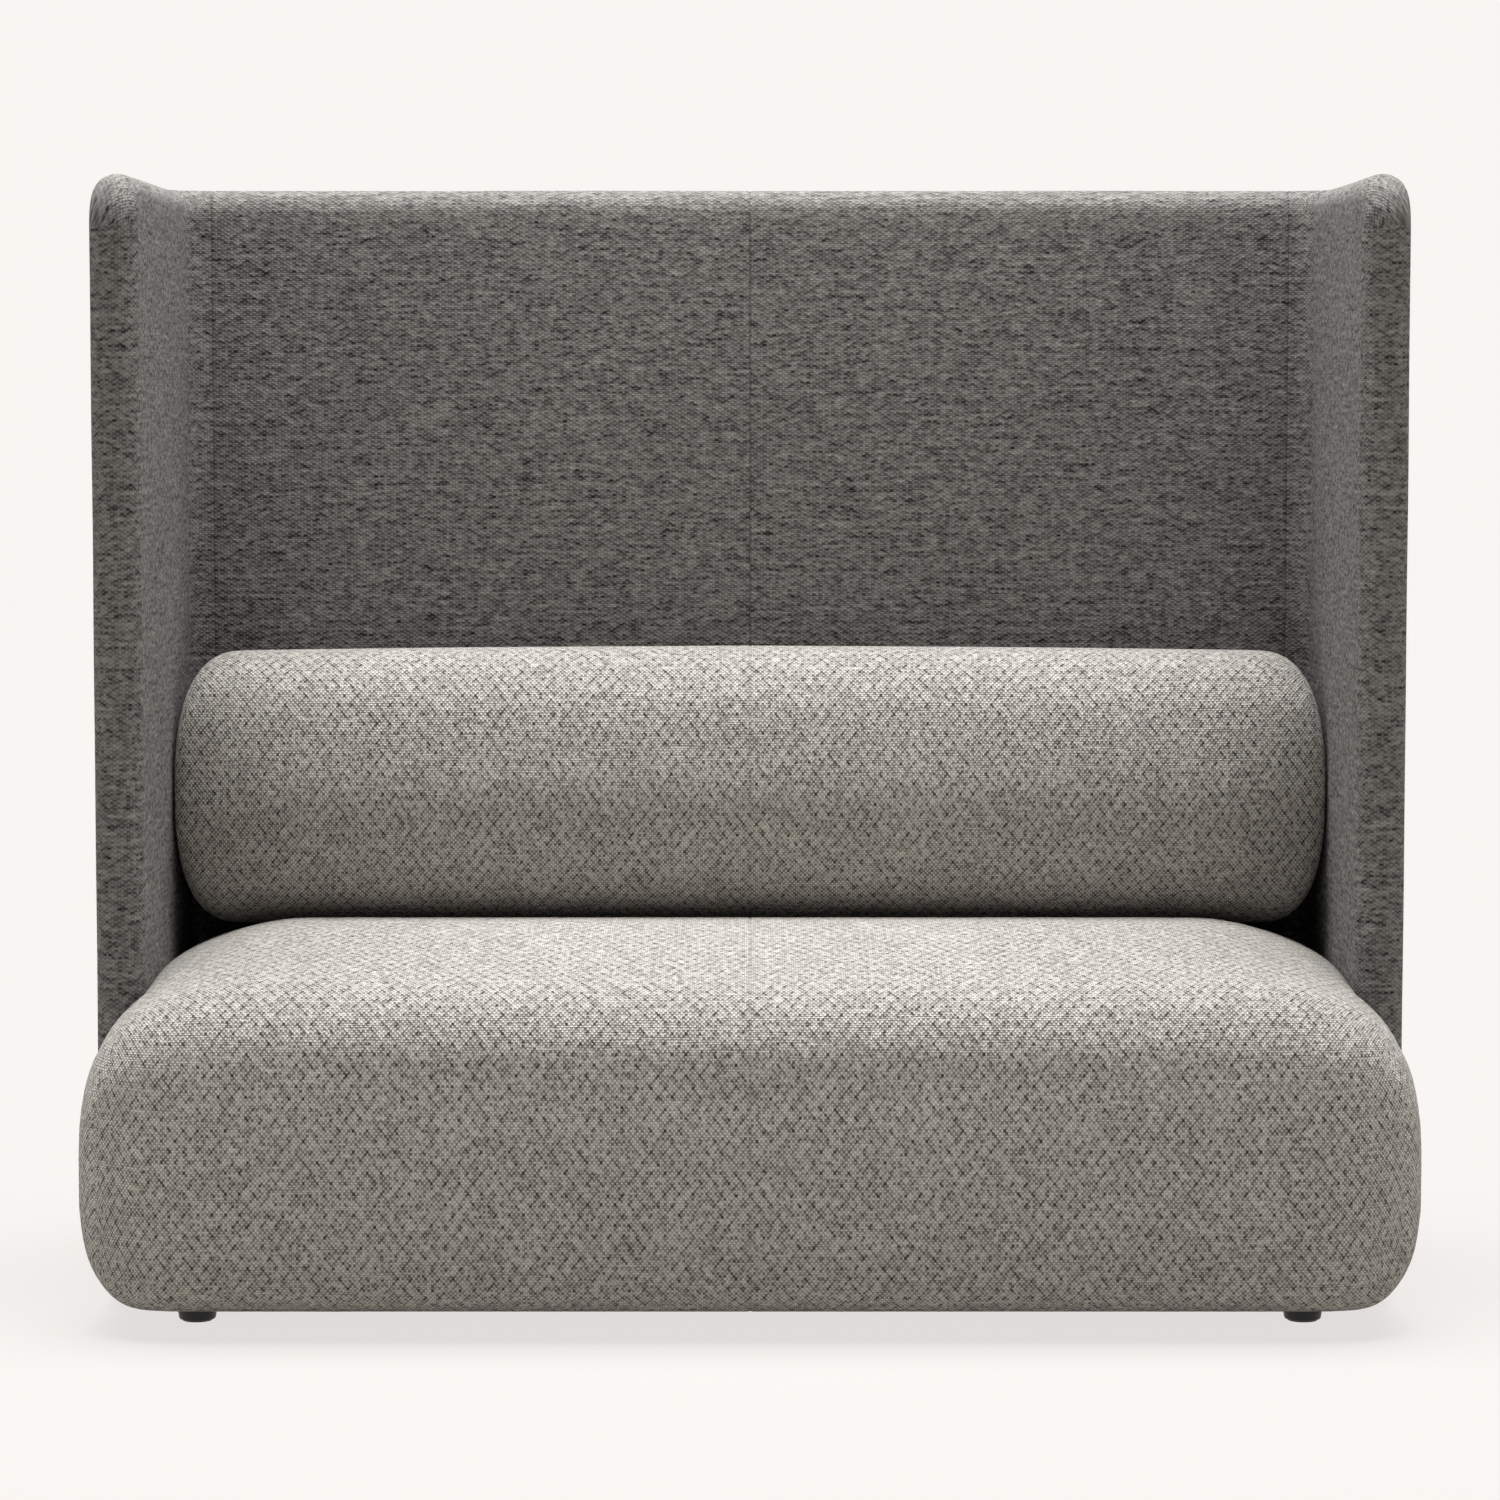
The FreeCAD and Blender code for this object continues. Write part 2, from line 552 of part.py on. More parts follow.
def build_shell():
    """Boards, dowels, foam and cover of the back and wings."""
    hole_cutters = dowels(HOLE_CLEARANCE)
    panel_end = RAIL_THICK + SPACER_LENGTH + PANEL_THICK
    barrel_hole = rod(TEE_BARREL_D + 2 * RUNNING_CLEARANCE, (0, 0, 0), (1, 0, 0), panel_end)
    pocket_depth = TEE_FLANGE_THICK + SPACER_PASSAGE_GAP
    flange_pocket = rod(TEE_FLANGE_D + 2 * SPACER_PASSAGE_GAP, (panel_end, 0, 0), (1, 0, 0), pocket_depth)
    spacer_passage = rod(SPACER_D + 2 * SPACER_PASSAGE_GAP, (RAIL_THICK, 0, 0), (1, 0, 0), SPACER_LENGTH)
    panel_cutters = hole_cutters + at_shell_bolts(barrel_hole)
    back_board = box(
        -CORNER_X, CORNER_X, SHELL_MID_Y - PANEL_THICK / 2, SHELL_MID_Y + PANEL_THICK / 2,
        SHELL_MID_BOTTOM, SHELL_MID_TOP,
    )
    boards = {
        "back_panel": back_board,
        "left_wing_panel": wing_panel(-1),
        "right_wing_panel": wing_panel(1),
        "left_corner_post": corner_post(-1),
        "right_corner_post": corner_post(1),
    }
    for name, board in boards.items():
        save(name, board.cut(panel_cutters))
    save("shell_dowels", group(dowels(0.0)))

    foam = shell_form(SHELL_R - WADDING_OUTSIDE).cut(list(boards.values()))
    foam = foam.cut(at_shell_bolts(spacer_passage) + at_shell_bolts(flange_pocket))
    zones = {
        "back_foam": (-CORNER_X, CORNER_X, -ENOUGH, ENOUGH),
        "left_wing_foam": (-ENOUGH, -CORNER_X, -ENOUGH, CORNER_Y),
        "left_corner_foam": (-ENOUGH, -CORNER_X, CORNER_Y, ENOUGH),
        "right_wing_foam": (CORNER_X, ENOUGH, -ENOUGH, CORNER_Y),
        "right_corner_foam": (CORNER_X, ENOUGH, CORNER_Y, ENOUGH),
    }
    for name, (x0, x1, y0, y1) in zones.items():
        save(name, foam.common(box(x0, x1, y0, y1, -ENOUGH, ENOUGH)))

    cover = shell_form(SHELL_R).cut(shell_form(SHELL_R - COVER_THICK))
    save("shell_cover", cover.cut(at_shell_bolts(spacer_passage)))


def build_shell_bolts():
    """Bolts, washers, spacer pads and tee nuts between the base and the shell."""
    panel_end = RAIL_THICK + SPACER_LENGTH + PANEL_THICK
    shank = rod(BOLT_D, (-WASHER_THICK, 0, 0), (1, 0, 0), WASHER_THICK + panel_end + TEE_FLANGE_THICK)
    head = hexagon(BOLT_HEAD_AF, -WASHER_THICK - BOLT_HEAD_H, BOLT_HEAD_H)
    bolt_hole = rod(BOLT_D + 2 * HOLE_CLEARANCE, (-WASHER_THICK, 0, 0), (1, 0, 0), WASHER_THICK + panel_end)
    washer = rod(WASHER_D, (-WASHER_THICK, 0, 0), (1, 0, 0), WASHER_THICK).cut(bolt_hole)
    spacer = rod(SPACER_D, (RAIL_THICK, 0, 0), (1, 0, 0), SPACER_LENGTH).cut(bolt_hole)
    nut = placed(tee_nut(), V(panel_end, 0, 0), 0)
    save("shell_bolts", group(at_shell_bolts(joined([shank, head]))))
    save("shell_bolt_washers", group(at_shell_bolts(washer)))
    save("shell_spacers", group(at_shell_bolts(spacer)))
    save("shell_tee_nuts", group(at_shell_bolts(nut)))


def corner_blocks():
    """The blocks in the base's corners: each with its side, the way in from its rail, and the rail's Y."""
    blocks = []
    for side in (-1, 1):
        x0, x1 = sorted((side * RAIL_INNER_X, side * (RAIL_INNER_X - BLOCK_X)))
        for inward, rail_y in ((1, RAIL_INNER_FRONT), (-1, RAIL_INNER_REAR)):
            y0, y1 = sorted((rail_y, rail_y + inward * BLOCK_Y))
            block = box(x0, x1, y0, y1, BASE_BOTTOM, BASE_BOTTOM + BLOCK_HEIGHT)
            blocks.append((block, side, inward, rail_y))
    return blocks


def block_screws(growth):
    """Screws from the corner blocks into the rails beside them, or their holes when grown."""
    found = []
    low = BASE_BOTTOM + BLOCK_SCREW_LEVEL
    for block, side, inward, rail_y in corner_blocks():
        for step in (0, 1):
            y = rail_y + inward * (BLOCK_SCREW_START + step * BLOCK_SCREW_SPREAD)
            start = (side * (RAIL_INNER_X - BLOCK_X), y, low)
            found.append(wood_screw(start, (side, 0, 0), BLOCK_X, growth))
            x = side * (RAIL_INNER_X - BLOCK_SCREW_STAGGER - step * BLOCK_SCREW_SPREAD)
            start = (x, rail_y + inward * BLOCK_Y, low + BLOCK_SCREW_STAGGER)
            found.append(wood_screw(start, (0, -inward, 0), BLOCK_Y, growth))
    return found


def wood_screw(start, direction, through, growth):
    """A screw whose head sits on the block at start and whose tip bites into the rail behind it."""
    length = through + BLOCK_SCREW_BITE + growth
    shank = rod(BLOCK_SCREW_D + 2 * growth, start, direction, length)
    back = [start[axis] - direction[axis] * BLOCK_SCREW_HEAD_H for axis in range(3)]
    head = rod(BLOCK_SCREW_HEAD_D, back, direction, BLOCK_SCREW_HEAD_H)
    return joined([shank, head])


def build_base():
    """Rails, corner blocks, screws, webbing and dust cover."""
    bolt_hole = rod(BOLT_D + 2 * HOLE_CLEARANCE, (0, 0, 0), (1, 0, 0), RAIL_THICK)
    foot_hole = rod(TEE_BARREL_D + 2 * RUNNING_CLEARANCE, (0, 0, BASE_BOTTOM), (0, 0, 1), BLOCK_HEIGHT)
    screw_holes = block_screws(HOLE_CLEARANCE)
    rails = {
        "base_front_rail": (-BASE_X, BASE_X, BASE_FRONT_Y, RAIL_INNER_FRONT),
        "base_rear_rail": (-BASE_X, BASE_X, RAIL_INNER_REAR, BASE_REAR_Y),
        "base_left_rail": (-BASE_X, -RAIL_INNER_X, RAIL_INNER_FRONT, RAIL_INNER_REAR),
        "base_right_rail": (RAIL_INNER_X, BASE_X, RAIL_INNER_FRONT, RAIL_INNER_REAR),
        "base_centre_rail": (-RAIL_THICK / 2, RAIL_THICK / 2, RAIL_INNER_FRONT, RAIL_INNER_REAR),
    }
    for name, (x0, x1, y0, y1) in rails.items():
        rail = box(x0, x1, y0, y1, BASE_BOTTOM, BASE_TOP)
        save(name, rail.cut(at_shell_bolts(bolt_hole) + screw_holes))
    blocks = [block for block, side, inward, rail_y in corner_blocks()]
    block_holes = screw_holes + at_feet(foot_hole)
    save("base_corner_blocks", group([block.cut(block_holes) for block in blocks]))
    save("base_block_screws", group(block_screws(0.0)))
    nut = tee_nut()
    nut.rotate(V(0, 0, 0), V(0, 1, 0), -90)
    nut.translate(V(0, 0, BASE_BOTTOM + BLOCK_HEIGHT))
    save("foot_tee_nuts", group(at_feet(nut)))

    save("seat_webbing_long", group(webbing(True)))
    save("seat_webbing_cross", group(webbing(False)))

    sheet = box(
        -BASE_X + DUST_COVER_INSET, BASE_X - DUST_COVER_INSET,
        BASE_FRONT_Y + DUST_COVER_INSET, BASE_REAR_Y - DUST_COVER_INSET,
        DUST_COVER_TOP - DUST_COVER_THICK, DUST_COVER_TOP,
    )
    stud_hole = rod(STUD_D + 4 * HOLE_CLEARANCE, (0, 0, 0), (0, 0, 1), SEAT_UNDERSIDE)
    save("dust_cover", sheet.cut(at_feet(stud_hole)))


def webbing(lengthwise):
    """Elastic straps across the top of the base: lengthwise ones below, crosswise ones above."""
    straps = []
    count = WEB_LONG_COUNT if lengthwise else WEB_CROSS_COUNT
    first = BASE_FRONT_Y if lengthwise else -BASE_X
    last = BASE_REAR_Y if lengthwise else BASE_X
    level = BASE_TOP if lengthwise else BASE_TOP + WEB_THICK
    for index in range(count):
        middle = first + (last - first) * (index + 0.5) / count
        a = middle - WEB_WIDTH / 2
        b = middle + WEB_WIDTH / 2
        if lengthwise:
            reach = BASE_X - WEB_EDGE_MARGIN
            straps.append(box(-reach, reach, a, b, level, level + WEB_THICK))
        else:
            near = BASE_FRONT_Y + WEB_EDGE_MARGIN
            far = BASE_REAR_Y - WEB_EDGE_MARGIN
            straps.append(box(a, b, near, far, level, level + WEB_THICK))
    return straps


def build_seat():
    """Foam, wadding and cover of the seat block."""
    base_space = box(
        -BASE_X - LAYER_GAP, BASE_X + LAYER_GAP, BASE_FRONT_Y - LAYER_GAP, BASE_REAR_Y + LAYER_GAP,
        -ENOUGH, WEB_TOP + LAYER_GAP,
    )
    spacer_passage = rod(SPACER_D + 2 * SPACER_PASSAGE_GAP, (RAIL_THICK, 0, 0), (1, 0, 0), SPACER_LENGTH)
    passages = at_shell_bolts(spacer_passage)
    foam = seat_form(FOAM_OUTSIDE).cut([base_space] + passages)
    below_webbing = box(-ENOUGH, ENOUGH, -ENOUGH, ENOUGH, -ENOUGH, WEB_TOP + LAYER_GAP)
    core_zone = box(-ENOUGH, ENOUGH, -ENOUGH, ENOUGH, WEB_TOP + LAYER_GAP, TOPPER_BOTTOM)
    topper_zone = box(-ENOUGH, ENOUGH, -ENOUGH, ENOUGH, TOPPER_BOTTOM, ENOUGH)
    save("seat_front_foam", foam.common(below_webbing))
    save("seat_foam_core", foam.common(core_zone))
    save("seat_foam_topper", foam.common(topper_zone))

    wadding = seat_form(WADDING_OUTSIDE).cut(seat_form(FOAM_OUTSIDE - LAYER_GAP))
    save("seat_wadding", wadding.cut([base_space] + passages))

    window = box(
        -BASE_X + COVER_RETURN, BASE_X - COVER_RETURN,
        BASE_FRONT_Y + COVER_RETURN, BASE_REAR_Y - COVER_RETURN,
        -ENOUGH, BASE_BOTTOM,
    )
    cover = seat_form(0.0).cut(seat_form(COVER_THICK))
    save("seat_cover", cover.cut([window] + passages))


def build_bolster():
    """Core, wadding and cover of the loose bolster."""
    save("bolster_core", bolster_form(FOAM_OUTSIDE))
    save("bolster_wadding", bolster_form(WADDING_OUTSIDE).cut(bolster_form(FOAM_OUTSIDE - LAYER_GAP)))
    save("bolster_cover", bolster_form(0.0).cut(bolster_form(COVER_THICK)))


def foot_body():
    """A tapered foot with a rounded lower edge, a socket for the glide below and one for the stud above."""
    bottom = GLIDE_PROUD
    blank = Part.makeCone(FOOT_BOTTOM_D / 2, FOOT_TOP_D / 2, FOOT_TOP - bottom, V(0, 0, bottom))
    rims = [edge for edge in blank.Edges if abs(edge.CenterOfMass.z - bottom) < LAYER_GAP and edge.Closed]
    blank = blank.makeFillet(FOOT_EDGE_R, rims)
    running = 2 * RUNNING_CLEARANCE
    recess = rod(GLIDE_D + running, (0, 0, bottom), (0, 0, 1), GLIDE_THICK - GLIDE_PROUD + RUNNING_CLEARANCE)
    pin_depth = GLIDE_THICK - GLIDE_PROUD + GLIDE_PIN_LENGTH + running
    pin_hole = rod(GLIDE_PIN_D + running, (0, 0, bottom), (0, 0, 1), pin_depth)
    stud_hole = rod(STUD_D, (0, 0, FOOT_TOP - STUD_BED), (0, 0, 1), STUD_BED)
    return blank.cut([recess, pin_hole, stud_hole])


def build_feet():
    """Each foot with its stud and glide."""
    glide = joined([
        rod(GLIDE_D, (0, 0, 0), (0, 0, 1), GLIDE_THICK),
        rod(GLIDE_PIN_D, (0, 0, GLIDE_THICK), (0, 0, 1), GLIDE_PIN_LENGTH),
    ])
    stud = rod(STUD_D, (0, 0, FOOT_TOP - STUD_BED), (0, 0, 1), STUD_TOP - FOOT_TOP + STUD_BED)
    foot = foot_body()
    for name, x, y in foot_places():
        save("foot_" + name, placed(foot, V(x, y, 0), 0))
        save("foot_stud_" + name, placed(stud, V(x, y, 0), 0))
        save("foot_glide_" + name, placed(glide, V(x, y, 0), 0))


os.makedirs("parts", exist_ok=True)
build_base()
build_seat()
build_bolster()
build_shell()
build_shell_bolts()
build_feet()
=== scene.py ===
"""High-back sofa for two: padded covers, inner layers, finishes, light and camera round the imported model."""

import math

import bmesh
import bpy
import numpy as np
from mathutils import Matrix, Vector
from mathutils.bvhtree import BVHTree


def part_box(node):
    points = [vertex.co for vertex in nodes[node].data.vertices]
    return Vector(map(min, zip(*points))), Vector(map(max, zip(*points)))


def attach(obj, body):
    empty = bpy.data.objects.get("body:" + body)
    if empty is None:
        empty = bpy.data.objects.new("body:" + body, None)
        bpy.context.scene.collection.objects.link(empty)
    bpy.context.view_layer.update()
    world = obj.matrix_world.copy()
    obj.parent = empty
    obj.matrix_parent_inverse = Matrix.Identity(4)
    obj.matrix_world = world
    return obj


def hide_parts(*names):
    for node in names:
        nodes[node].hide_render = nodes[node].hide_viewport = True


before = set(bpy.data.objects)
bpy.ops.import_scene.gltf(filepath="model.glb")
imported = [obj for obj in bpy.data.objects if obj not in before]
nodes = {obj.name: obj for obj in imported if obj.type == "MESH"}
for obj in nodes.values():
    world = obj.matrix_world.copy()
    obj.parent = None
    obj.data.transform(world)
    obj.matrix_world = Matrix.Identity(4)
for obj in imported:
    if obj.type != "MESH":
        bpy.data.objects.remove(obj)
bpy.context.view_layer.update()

# Camera, from a fit to the photograph's outline, in metres, radians and millimetres of lens
CAMERA_PLACE = (0.0, -5.827, 1.1327)
CAMERA_TILT = 0.0782
CAMERA_LENS = 111.63
CAMERA_SENSOR = 36.0

# Light and stage
KEY_STRENGTH = 2.40
KEY_SPREAD = math.radians(42)
KEY_FROM = (0.14, 0.07, 1.0)
KEY_COLOUR = (1.0, 0.995, 0.985)
LAMP_POWER = 6.0
LAMP_SIZE = (1.8, 0.3)
LAMP_PLACE = (0.0, 0.0, 1.95)
AMBIENT_COLOUR = (1.0, 0.95, 0.89)
AMBIENT_STRENGTH = 0.040
BACKDROP_COLOUR = (0.947, 0.913, 0.888)
FLOOR_BOUNCE_COLOUR = (0.45, 0.43, 0.40)
FLOOR_SHADOW_SHARE = 0.22
FLOOR_SIZE = 40.0

# Shell wall
WALL_HALF = 0.030
WALL_BEND_R = 0.060
WALL_CORNER_R = 0.035
WALL_STEP = 0.014
WALL_CORNER_STEPS = 9
WALL_BEND_STEPS = 12
WALL_RIM_STEPS = 16
WALL_UNEVEN = 0.0007

# Seat and bolster covers: rings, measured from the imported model
COVER_STEP = 0.0095
COVER_RAYS = 1441
COVER_PROBE_X = 0.02
COVER_END_GAP = 0.0008
COVER_CAP_ROWS = 7
COVER_END_LOOK = 0.7
SEAT_HUB = (-0.29, 0.235)
SEAT_SIDE_GAP = 0.0025
SEAT_EAR_GAP = 0.0035
SEAT_EAR_RINGS = 13
SEAT_STEP_RINGS = 7
BASE_WINDOW = (-0.330, 0.315)
SEAT_BASE_X = 0.715
STEEP_ENOUGH = 0.15
BOLSTER_HUB = (0.215, 0.612)
BOLSTER_END_RUN = 0.060
BOLSTER_END_RINGS = 10

# Seat and bolster covers: how far they stand out, and over which stretches that comes and goes
SEAT_EAR_SWELL = 0.005
SEAT_CROWN = 0.014
SEAT_CROWN_COMES_Y = (-0.30, 0.03)
SEAT_CROWN_GOES_Y = (0.08, 0.145)
SEAT_CROWN_Z = (0.36, 0.41)
SWELL_GOES_X = (0.56, 0.72)
BOLSTER_CROWN = 0.005
BOLSTER_CROWN_FALL = 1.4
BOLSTER_BELLY = 0.018
BOLSTER_BELLY_TURN = math.radians(-12)
BOLSTER_BELLY_SPREAD = math.radians(35)

# Air pressure in the covers, the stretches over which they come to be held, and the swell that is kept
SEAT_HELD_Z = (0.075, 0.045)
SEAT_HELD_WING_X = (0.690, 0.735)
SEAT_HELD_WING_Y = (-0.235, -0.200)
SEAT_HELD_BACK_Y = (0.02, 0.08)
BOLSTER_HELD_Z = (0.560, 0.470)
BOLSTER_HELD_BACK_Y = (0.290, 0.330)
BOLSTER_HELD_END_X = (0.690, 0.730)
SEAT_SWELL = 0.003
BOLSTER_SWELL = 0.009
INFLATE_SINK = 0.0004
INFLATE_EVENING = 12
INFLATE_FRAMES = 20
HELD_SHARES = (0.25, 0.5, 0.75, 1.0)
INFLATE_CLOTH = {
    "quality": 4, "mass": 0.4, "tension_stiffness": 12, "compression_stiffness": 12,
    "bending_stiffness": 0.8, "use_pressure": True, "uniform_pressure_force": 4.0,
}

# Seams
SEAM_DEPTH = 0.0011
SEAM_HALF_WIDTH = 0.0014
SEAM_OFFSETS = (0.0015, 0.003, 0.006)
SEAM_CLEAR = 0.001

# Inner layers
LAYER_STEP = 0.06
LAYER_SPLITS = 6
LAYER_UNEVEN = 0.0005
LAYER_CREASE = 0.6

# Webbing, staples and seam thread
WEB_WIDTH = 0.050
WEB_THICK = 0.0014
WEB_RIPPLE = 0.0012
WEB_LONG_COUNT = 6
WEB_CROSS_COUNT = 14
WEB_CELLS_ACROSS = 5
WEB_LONG_CELLS = 90
WEB_CROSS_CELLS = 42
STAPLE_SPACING = 0.032
STAPLE_LENGTH = 0.0105
STAPLE_WIRE = 0.0011
STAPLE_EDGE = 0.004
STAPLE_SKEW = 0.12
STAPLE_SEED = 7
STITCH_SPACING = 0.0046
STITCH_LENGTH = 0.0036
STITCH_THREAD = 0.0007
STITCH_LIFT = 0.0002
STITCH_REACH = 0.0004
STITCH_SKEW = 0.06
STITCH_SEED = 3

# Weaves: how far each repeats across and up, and how far its yarns wander
SEAT_LATTICE = (0.0167, 0.0254)
SEAT_WEAVE = (0.0054, 0.0062)
SEAT_WANDER = 0.0009
SHELL_WEAVE = (0.0082, 0.0054)
SHELL_WANDER = 0.002

# Noise in the cloths, in repeats per metre, along and across where there are two
SEAT_WANDER_NOISE = 55.0
SEAT_DRIFT_NOISE = 38.0
SEAT_SLUB_NOISE = (24.0, 520.0)
SEAT_CLUMP_NOISE = 150.0
SEAT_BROAD_NOISE = 7.0
SHELL_WANDER_NOISE = 45.0
SHELL_DASH_NOISE = (55.0, 230.0)
SHELL_STREAK_NOISE = (13.0, 130.0)
SHELL_CLUMP_NOISE = 160.0
SHELL_BROAD_NOISE = 5.0

# Painted highlight on the shell's rim, for the light that falls on it from above: how much lighter it is
# painted, and how far below the top that begins and is full
RIM_PAINTED_HIGHLIGHT = 0.32
RIM_PAINTED_HIGHLIGHT_BEGINS = 0.06
RIM_PAINTED_HIGHLIGHT_FULL = 0.01

# Colours, linear, and the least share of one that a finish's pattern leaves
DARKEST_SHARE = 0.12
SEAT_CLOTH = (0.520, 0.495, 0.462)
SHELL_CLOTH = (0.218, 0.210, 0.204)
FOAM = (0.80, 0.70, 0.44)
WADDING = (0.82, 0.82, 0.80)
TIMBER = (0.62, 0.44, 0.26)
BOARD = (0.50, 0.36, 0.21)
ZINC = (0.66, 0.66, 0.63)
FOOT_BLACK = (0.012, 0.012, 0.013)
GLIDE_GREY = (0.045, 0.045, 0.046)
WEB_BLACK = (0.035, 0.035, 0.037)
DUST_BLACK = (0.018, 0.018, 0.019)
SEAT_THREAD = (0.44, 0.42, 0.39)
SHELL_THREAD = (0.13, 0.125, 0.12)


def unevenness(points):
    """Smooth waviness from 0 to 1 over points in metres, the same each run."""
    x, y, z = points[..., 0], points[..., 1], points[..., 2]
    total = np.sin(9.1 * x + 3.7 * y + 2.1 * z + 0.4)
    total += np.sin(-5.3 * x + 8.2 * y + 6.9 * z + 1.9)
    total += np.sin(4.4 * x - 6.1 * y + 11.7 * z + 3.1)
    return 0.5 + total / 6


def ramp_up(values, low, high):
    """0 below low, 1 above high, smooth between."""
    t = np.clip((values - low) / (high - low), 0, 1)
    return t * t * (3 - 2 * t)


def ramp_down(values, high, low):
    """0 above high, 1 below low, smooth between."""
    return ramp_up(-values, -high, -low)


def put_in_scene(name, data):
    """An object at the origin with a mesh, camera or light in it."""
    made = bpy.data.objects.new(name, data)
    bpy.context.scene.collection.objects.link(made)
    return made


def new_piece(name, points, faces):
    """An object at the origin from points and faces."""
    mesh = bpy.data.meshes.new(name)
    mesh.from_pydata([tuple(p) for p in points], [], [tuple(f) for f in faces])
    mesh.validate()
    return put_in_scene(name, mesh)


def smooth_faces(piece):
    """Smooth shading all over."""
    piece.data.polygons.foreach_set("use_smooth", [True] * len(piece.data.polygons))


def points_of(piece, what="co"):
    """A piece's points as an array."""
    flat = np.zeros(len(piece.data.vertices) * 3)
    piece.data.vertices.foreach_get(what, flat)
    return flat.reshape(-1, 3)


def normals_of(piece):
    """A piece's point normals as an array."""
    return points_of(piece, "normal")


def move_points(piece, points):
    """Give a piece's points new places."""
    piece.data.vertices.foreach_set("co", np.ascontiguousarray(points).ravel())
    piece.data.update()


def put_attribute(piece, name, values):
    """A number at each point that the finishes can read."""
    layer = piece.data.attributes.new(name, "FLOAT", "POINT")
    layer.data.foreach_set("value", np.ascontiguousarray(values, dtype=np.float32))


class Sheet:
    """Collects grids of points into one mesh, each grid with its own flat lay of the cloth in metres."""

    def __init__(self):
        self.points = []
        self.index = {}
        self.faces = []
        self.lay = []

    def point(self, place):
        key = tuple(np.round(place, 6))
        if key not in self.index:
            self.index[key] = len(self.points)
            self.points.append(key)
        return self.index[key]

    def grid(self, places, lay):
        """Quads over a grid of places, rows by columns, with the same shape of lay coordinates."""
        rows, columns = places.shape[:2]
        ids = [[self.point(places[r, c]) for c in range(columns)] for r in range(rows)]
        for r in range(rows - 1):
            for c in range(columns - 1):
                corners = ((r, c), (r + 1, c), (r + 1, c + 1), (r, c + 1))
                face = [ids[a][b] for a, b in corners]
                spots = [tuple(lay[a, b]) for a, b in corners]
                kept = [k for k in range(4) if face[k] != face[k - 1]]
                if len(kept) > 2:
                    self.faces.append([face[k] for k in kept])
                    self.lay.append([spots[k] for k in kept])

    def piece(self, name):
        """The finished object, with the cloth's lay as its UV map."""
        made = new_piece(name, self.points, self.faces)
        layer = made.data.uv_layers.new(name="weave")
        flat = [number for face in self.lay for spot in face for number in spot]
        layer.data.foreach_set("uv", flat)
        smooth_faces(made)
        return made


def outside_radius(node, stations, angles, hub):
    """How far a node's outside lies from a line along X, at each station and angle up from the front."""
    mesh = nodes[node].data
    tree = BVHTree.FromPolygons([v.co for v in mesh.vertices], [tuple(p.vertices) for p in mesh.polygons])
    far = 2.0
    radius = np.full((len(stations), len(angles)), np.nan)
    for row, x in enumerate(stations):
        for column, angle in enumerate(angles):
            out = Vector((0, -math.cos(angle), math.sin(angle)))
            hit = tree.ray_cast(Vector((x, *hub)) + out * far, -out, far)
            if hit[0] is not None:
                radius[row, column] = far - hit[3]
    return radius


def even_angles(radius, angles, step):
    """Angles that space a section's outline evenly."""
    y = -radius * np.cos(angles)
    z = radius * np.sin(angles)
    run = np.concatenate([[0], np.cumsum(np.hypot(np.diff(y), np.diff(z)))])
    count = int(round(run[-1] / step))
    return np.interp(np.linspace(0, run[-1], count + 1), run, angles)


def close_window(radius, stations, angles, hub, floor_level):
    """Carry the underside straight across the opening below the base."""
    for column, angle in enumerate(angles):
        down = -math.sin(angle)
        if down < STEEP_ENOUGH:
            continue
        reach = (hub[1] - floor_level) / down
        y = hub[0] - reach * math.cos(angle)
        if BASE_WINDOW[0] < y < BASE_WINDOW[1]:
            inside = np.abs(stations) < SEAT_BASE_X
            radius[inside, column] = reach
    return radius


def measured_rings(node, stations, hub, window_level=None):
    """Angles that suit a cover's section, and how far its outside lies from the hub at each station."""

    def measured(places, turns):
        found = outside_radius(node, places, turns, hub)
        if window_level is not None:
            found = close_window(found, places, turns, hub, window_level)
        return found

    rays = np.linspace(-math.pi, math.pi, COVER_RAYS)
    angles = even_angles(measured(np.array([COVER_PROBE_X]), rays)[0], rays, COVER_STEP)
    radius = measured(stations, angles)
    for row in radius:
        known = ~np.isnan(row)
        row[:] = np.interp(angles, angles[known], row[known])
    return angles, radius


def mirrored(half):
    """Stations on both sides of the middle from those on one side."""
    return np.array([-x for x in reversed(half)] + [0.0] + list(half))


def lay_ends_flat(piece):
    """Lay the cloth flat over the faces that look along X, so that its weave isn't drawn in at the ends."""
    mesh = piece.data
    layer = mesh.uv_layers["weave"].data
    for face in mesh.polygons:
        if abs(face.normal.x) > COVER_END_LOOK:
            for corner in face.loop_indices:
                place = mesh.vertices[mesh.loops[corner].vertex_index].co
                layer[corner].uv = (math.copysign(place.y, place.y * face.normal.x), place.z)


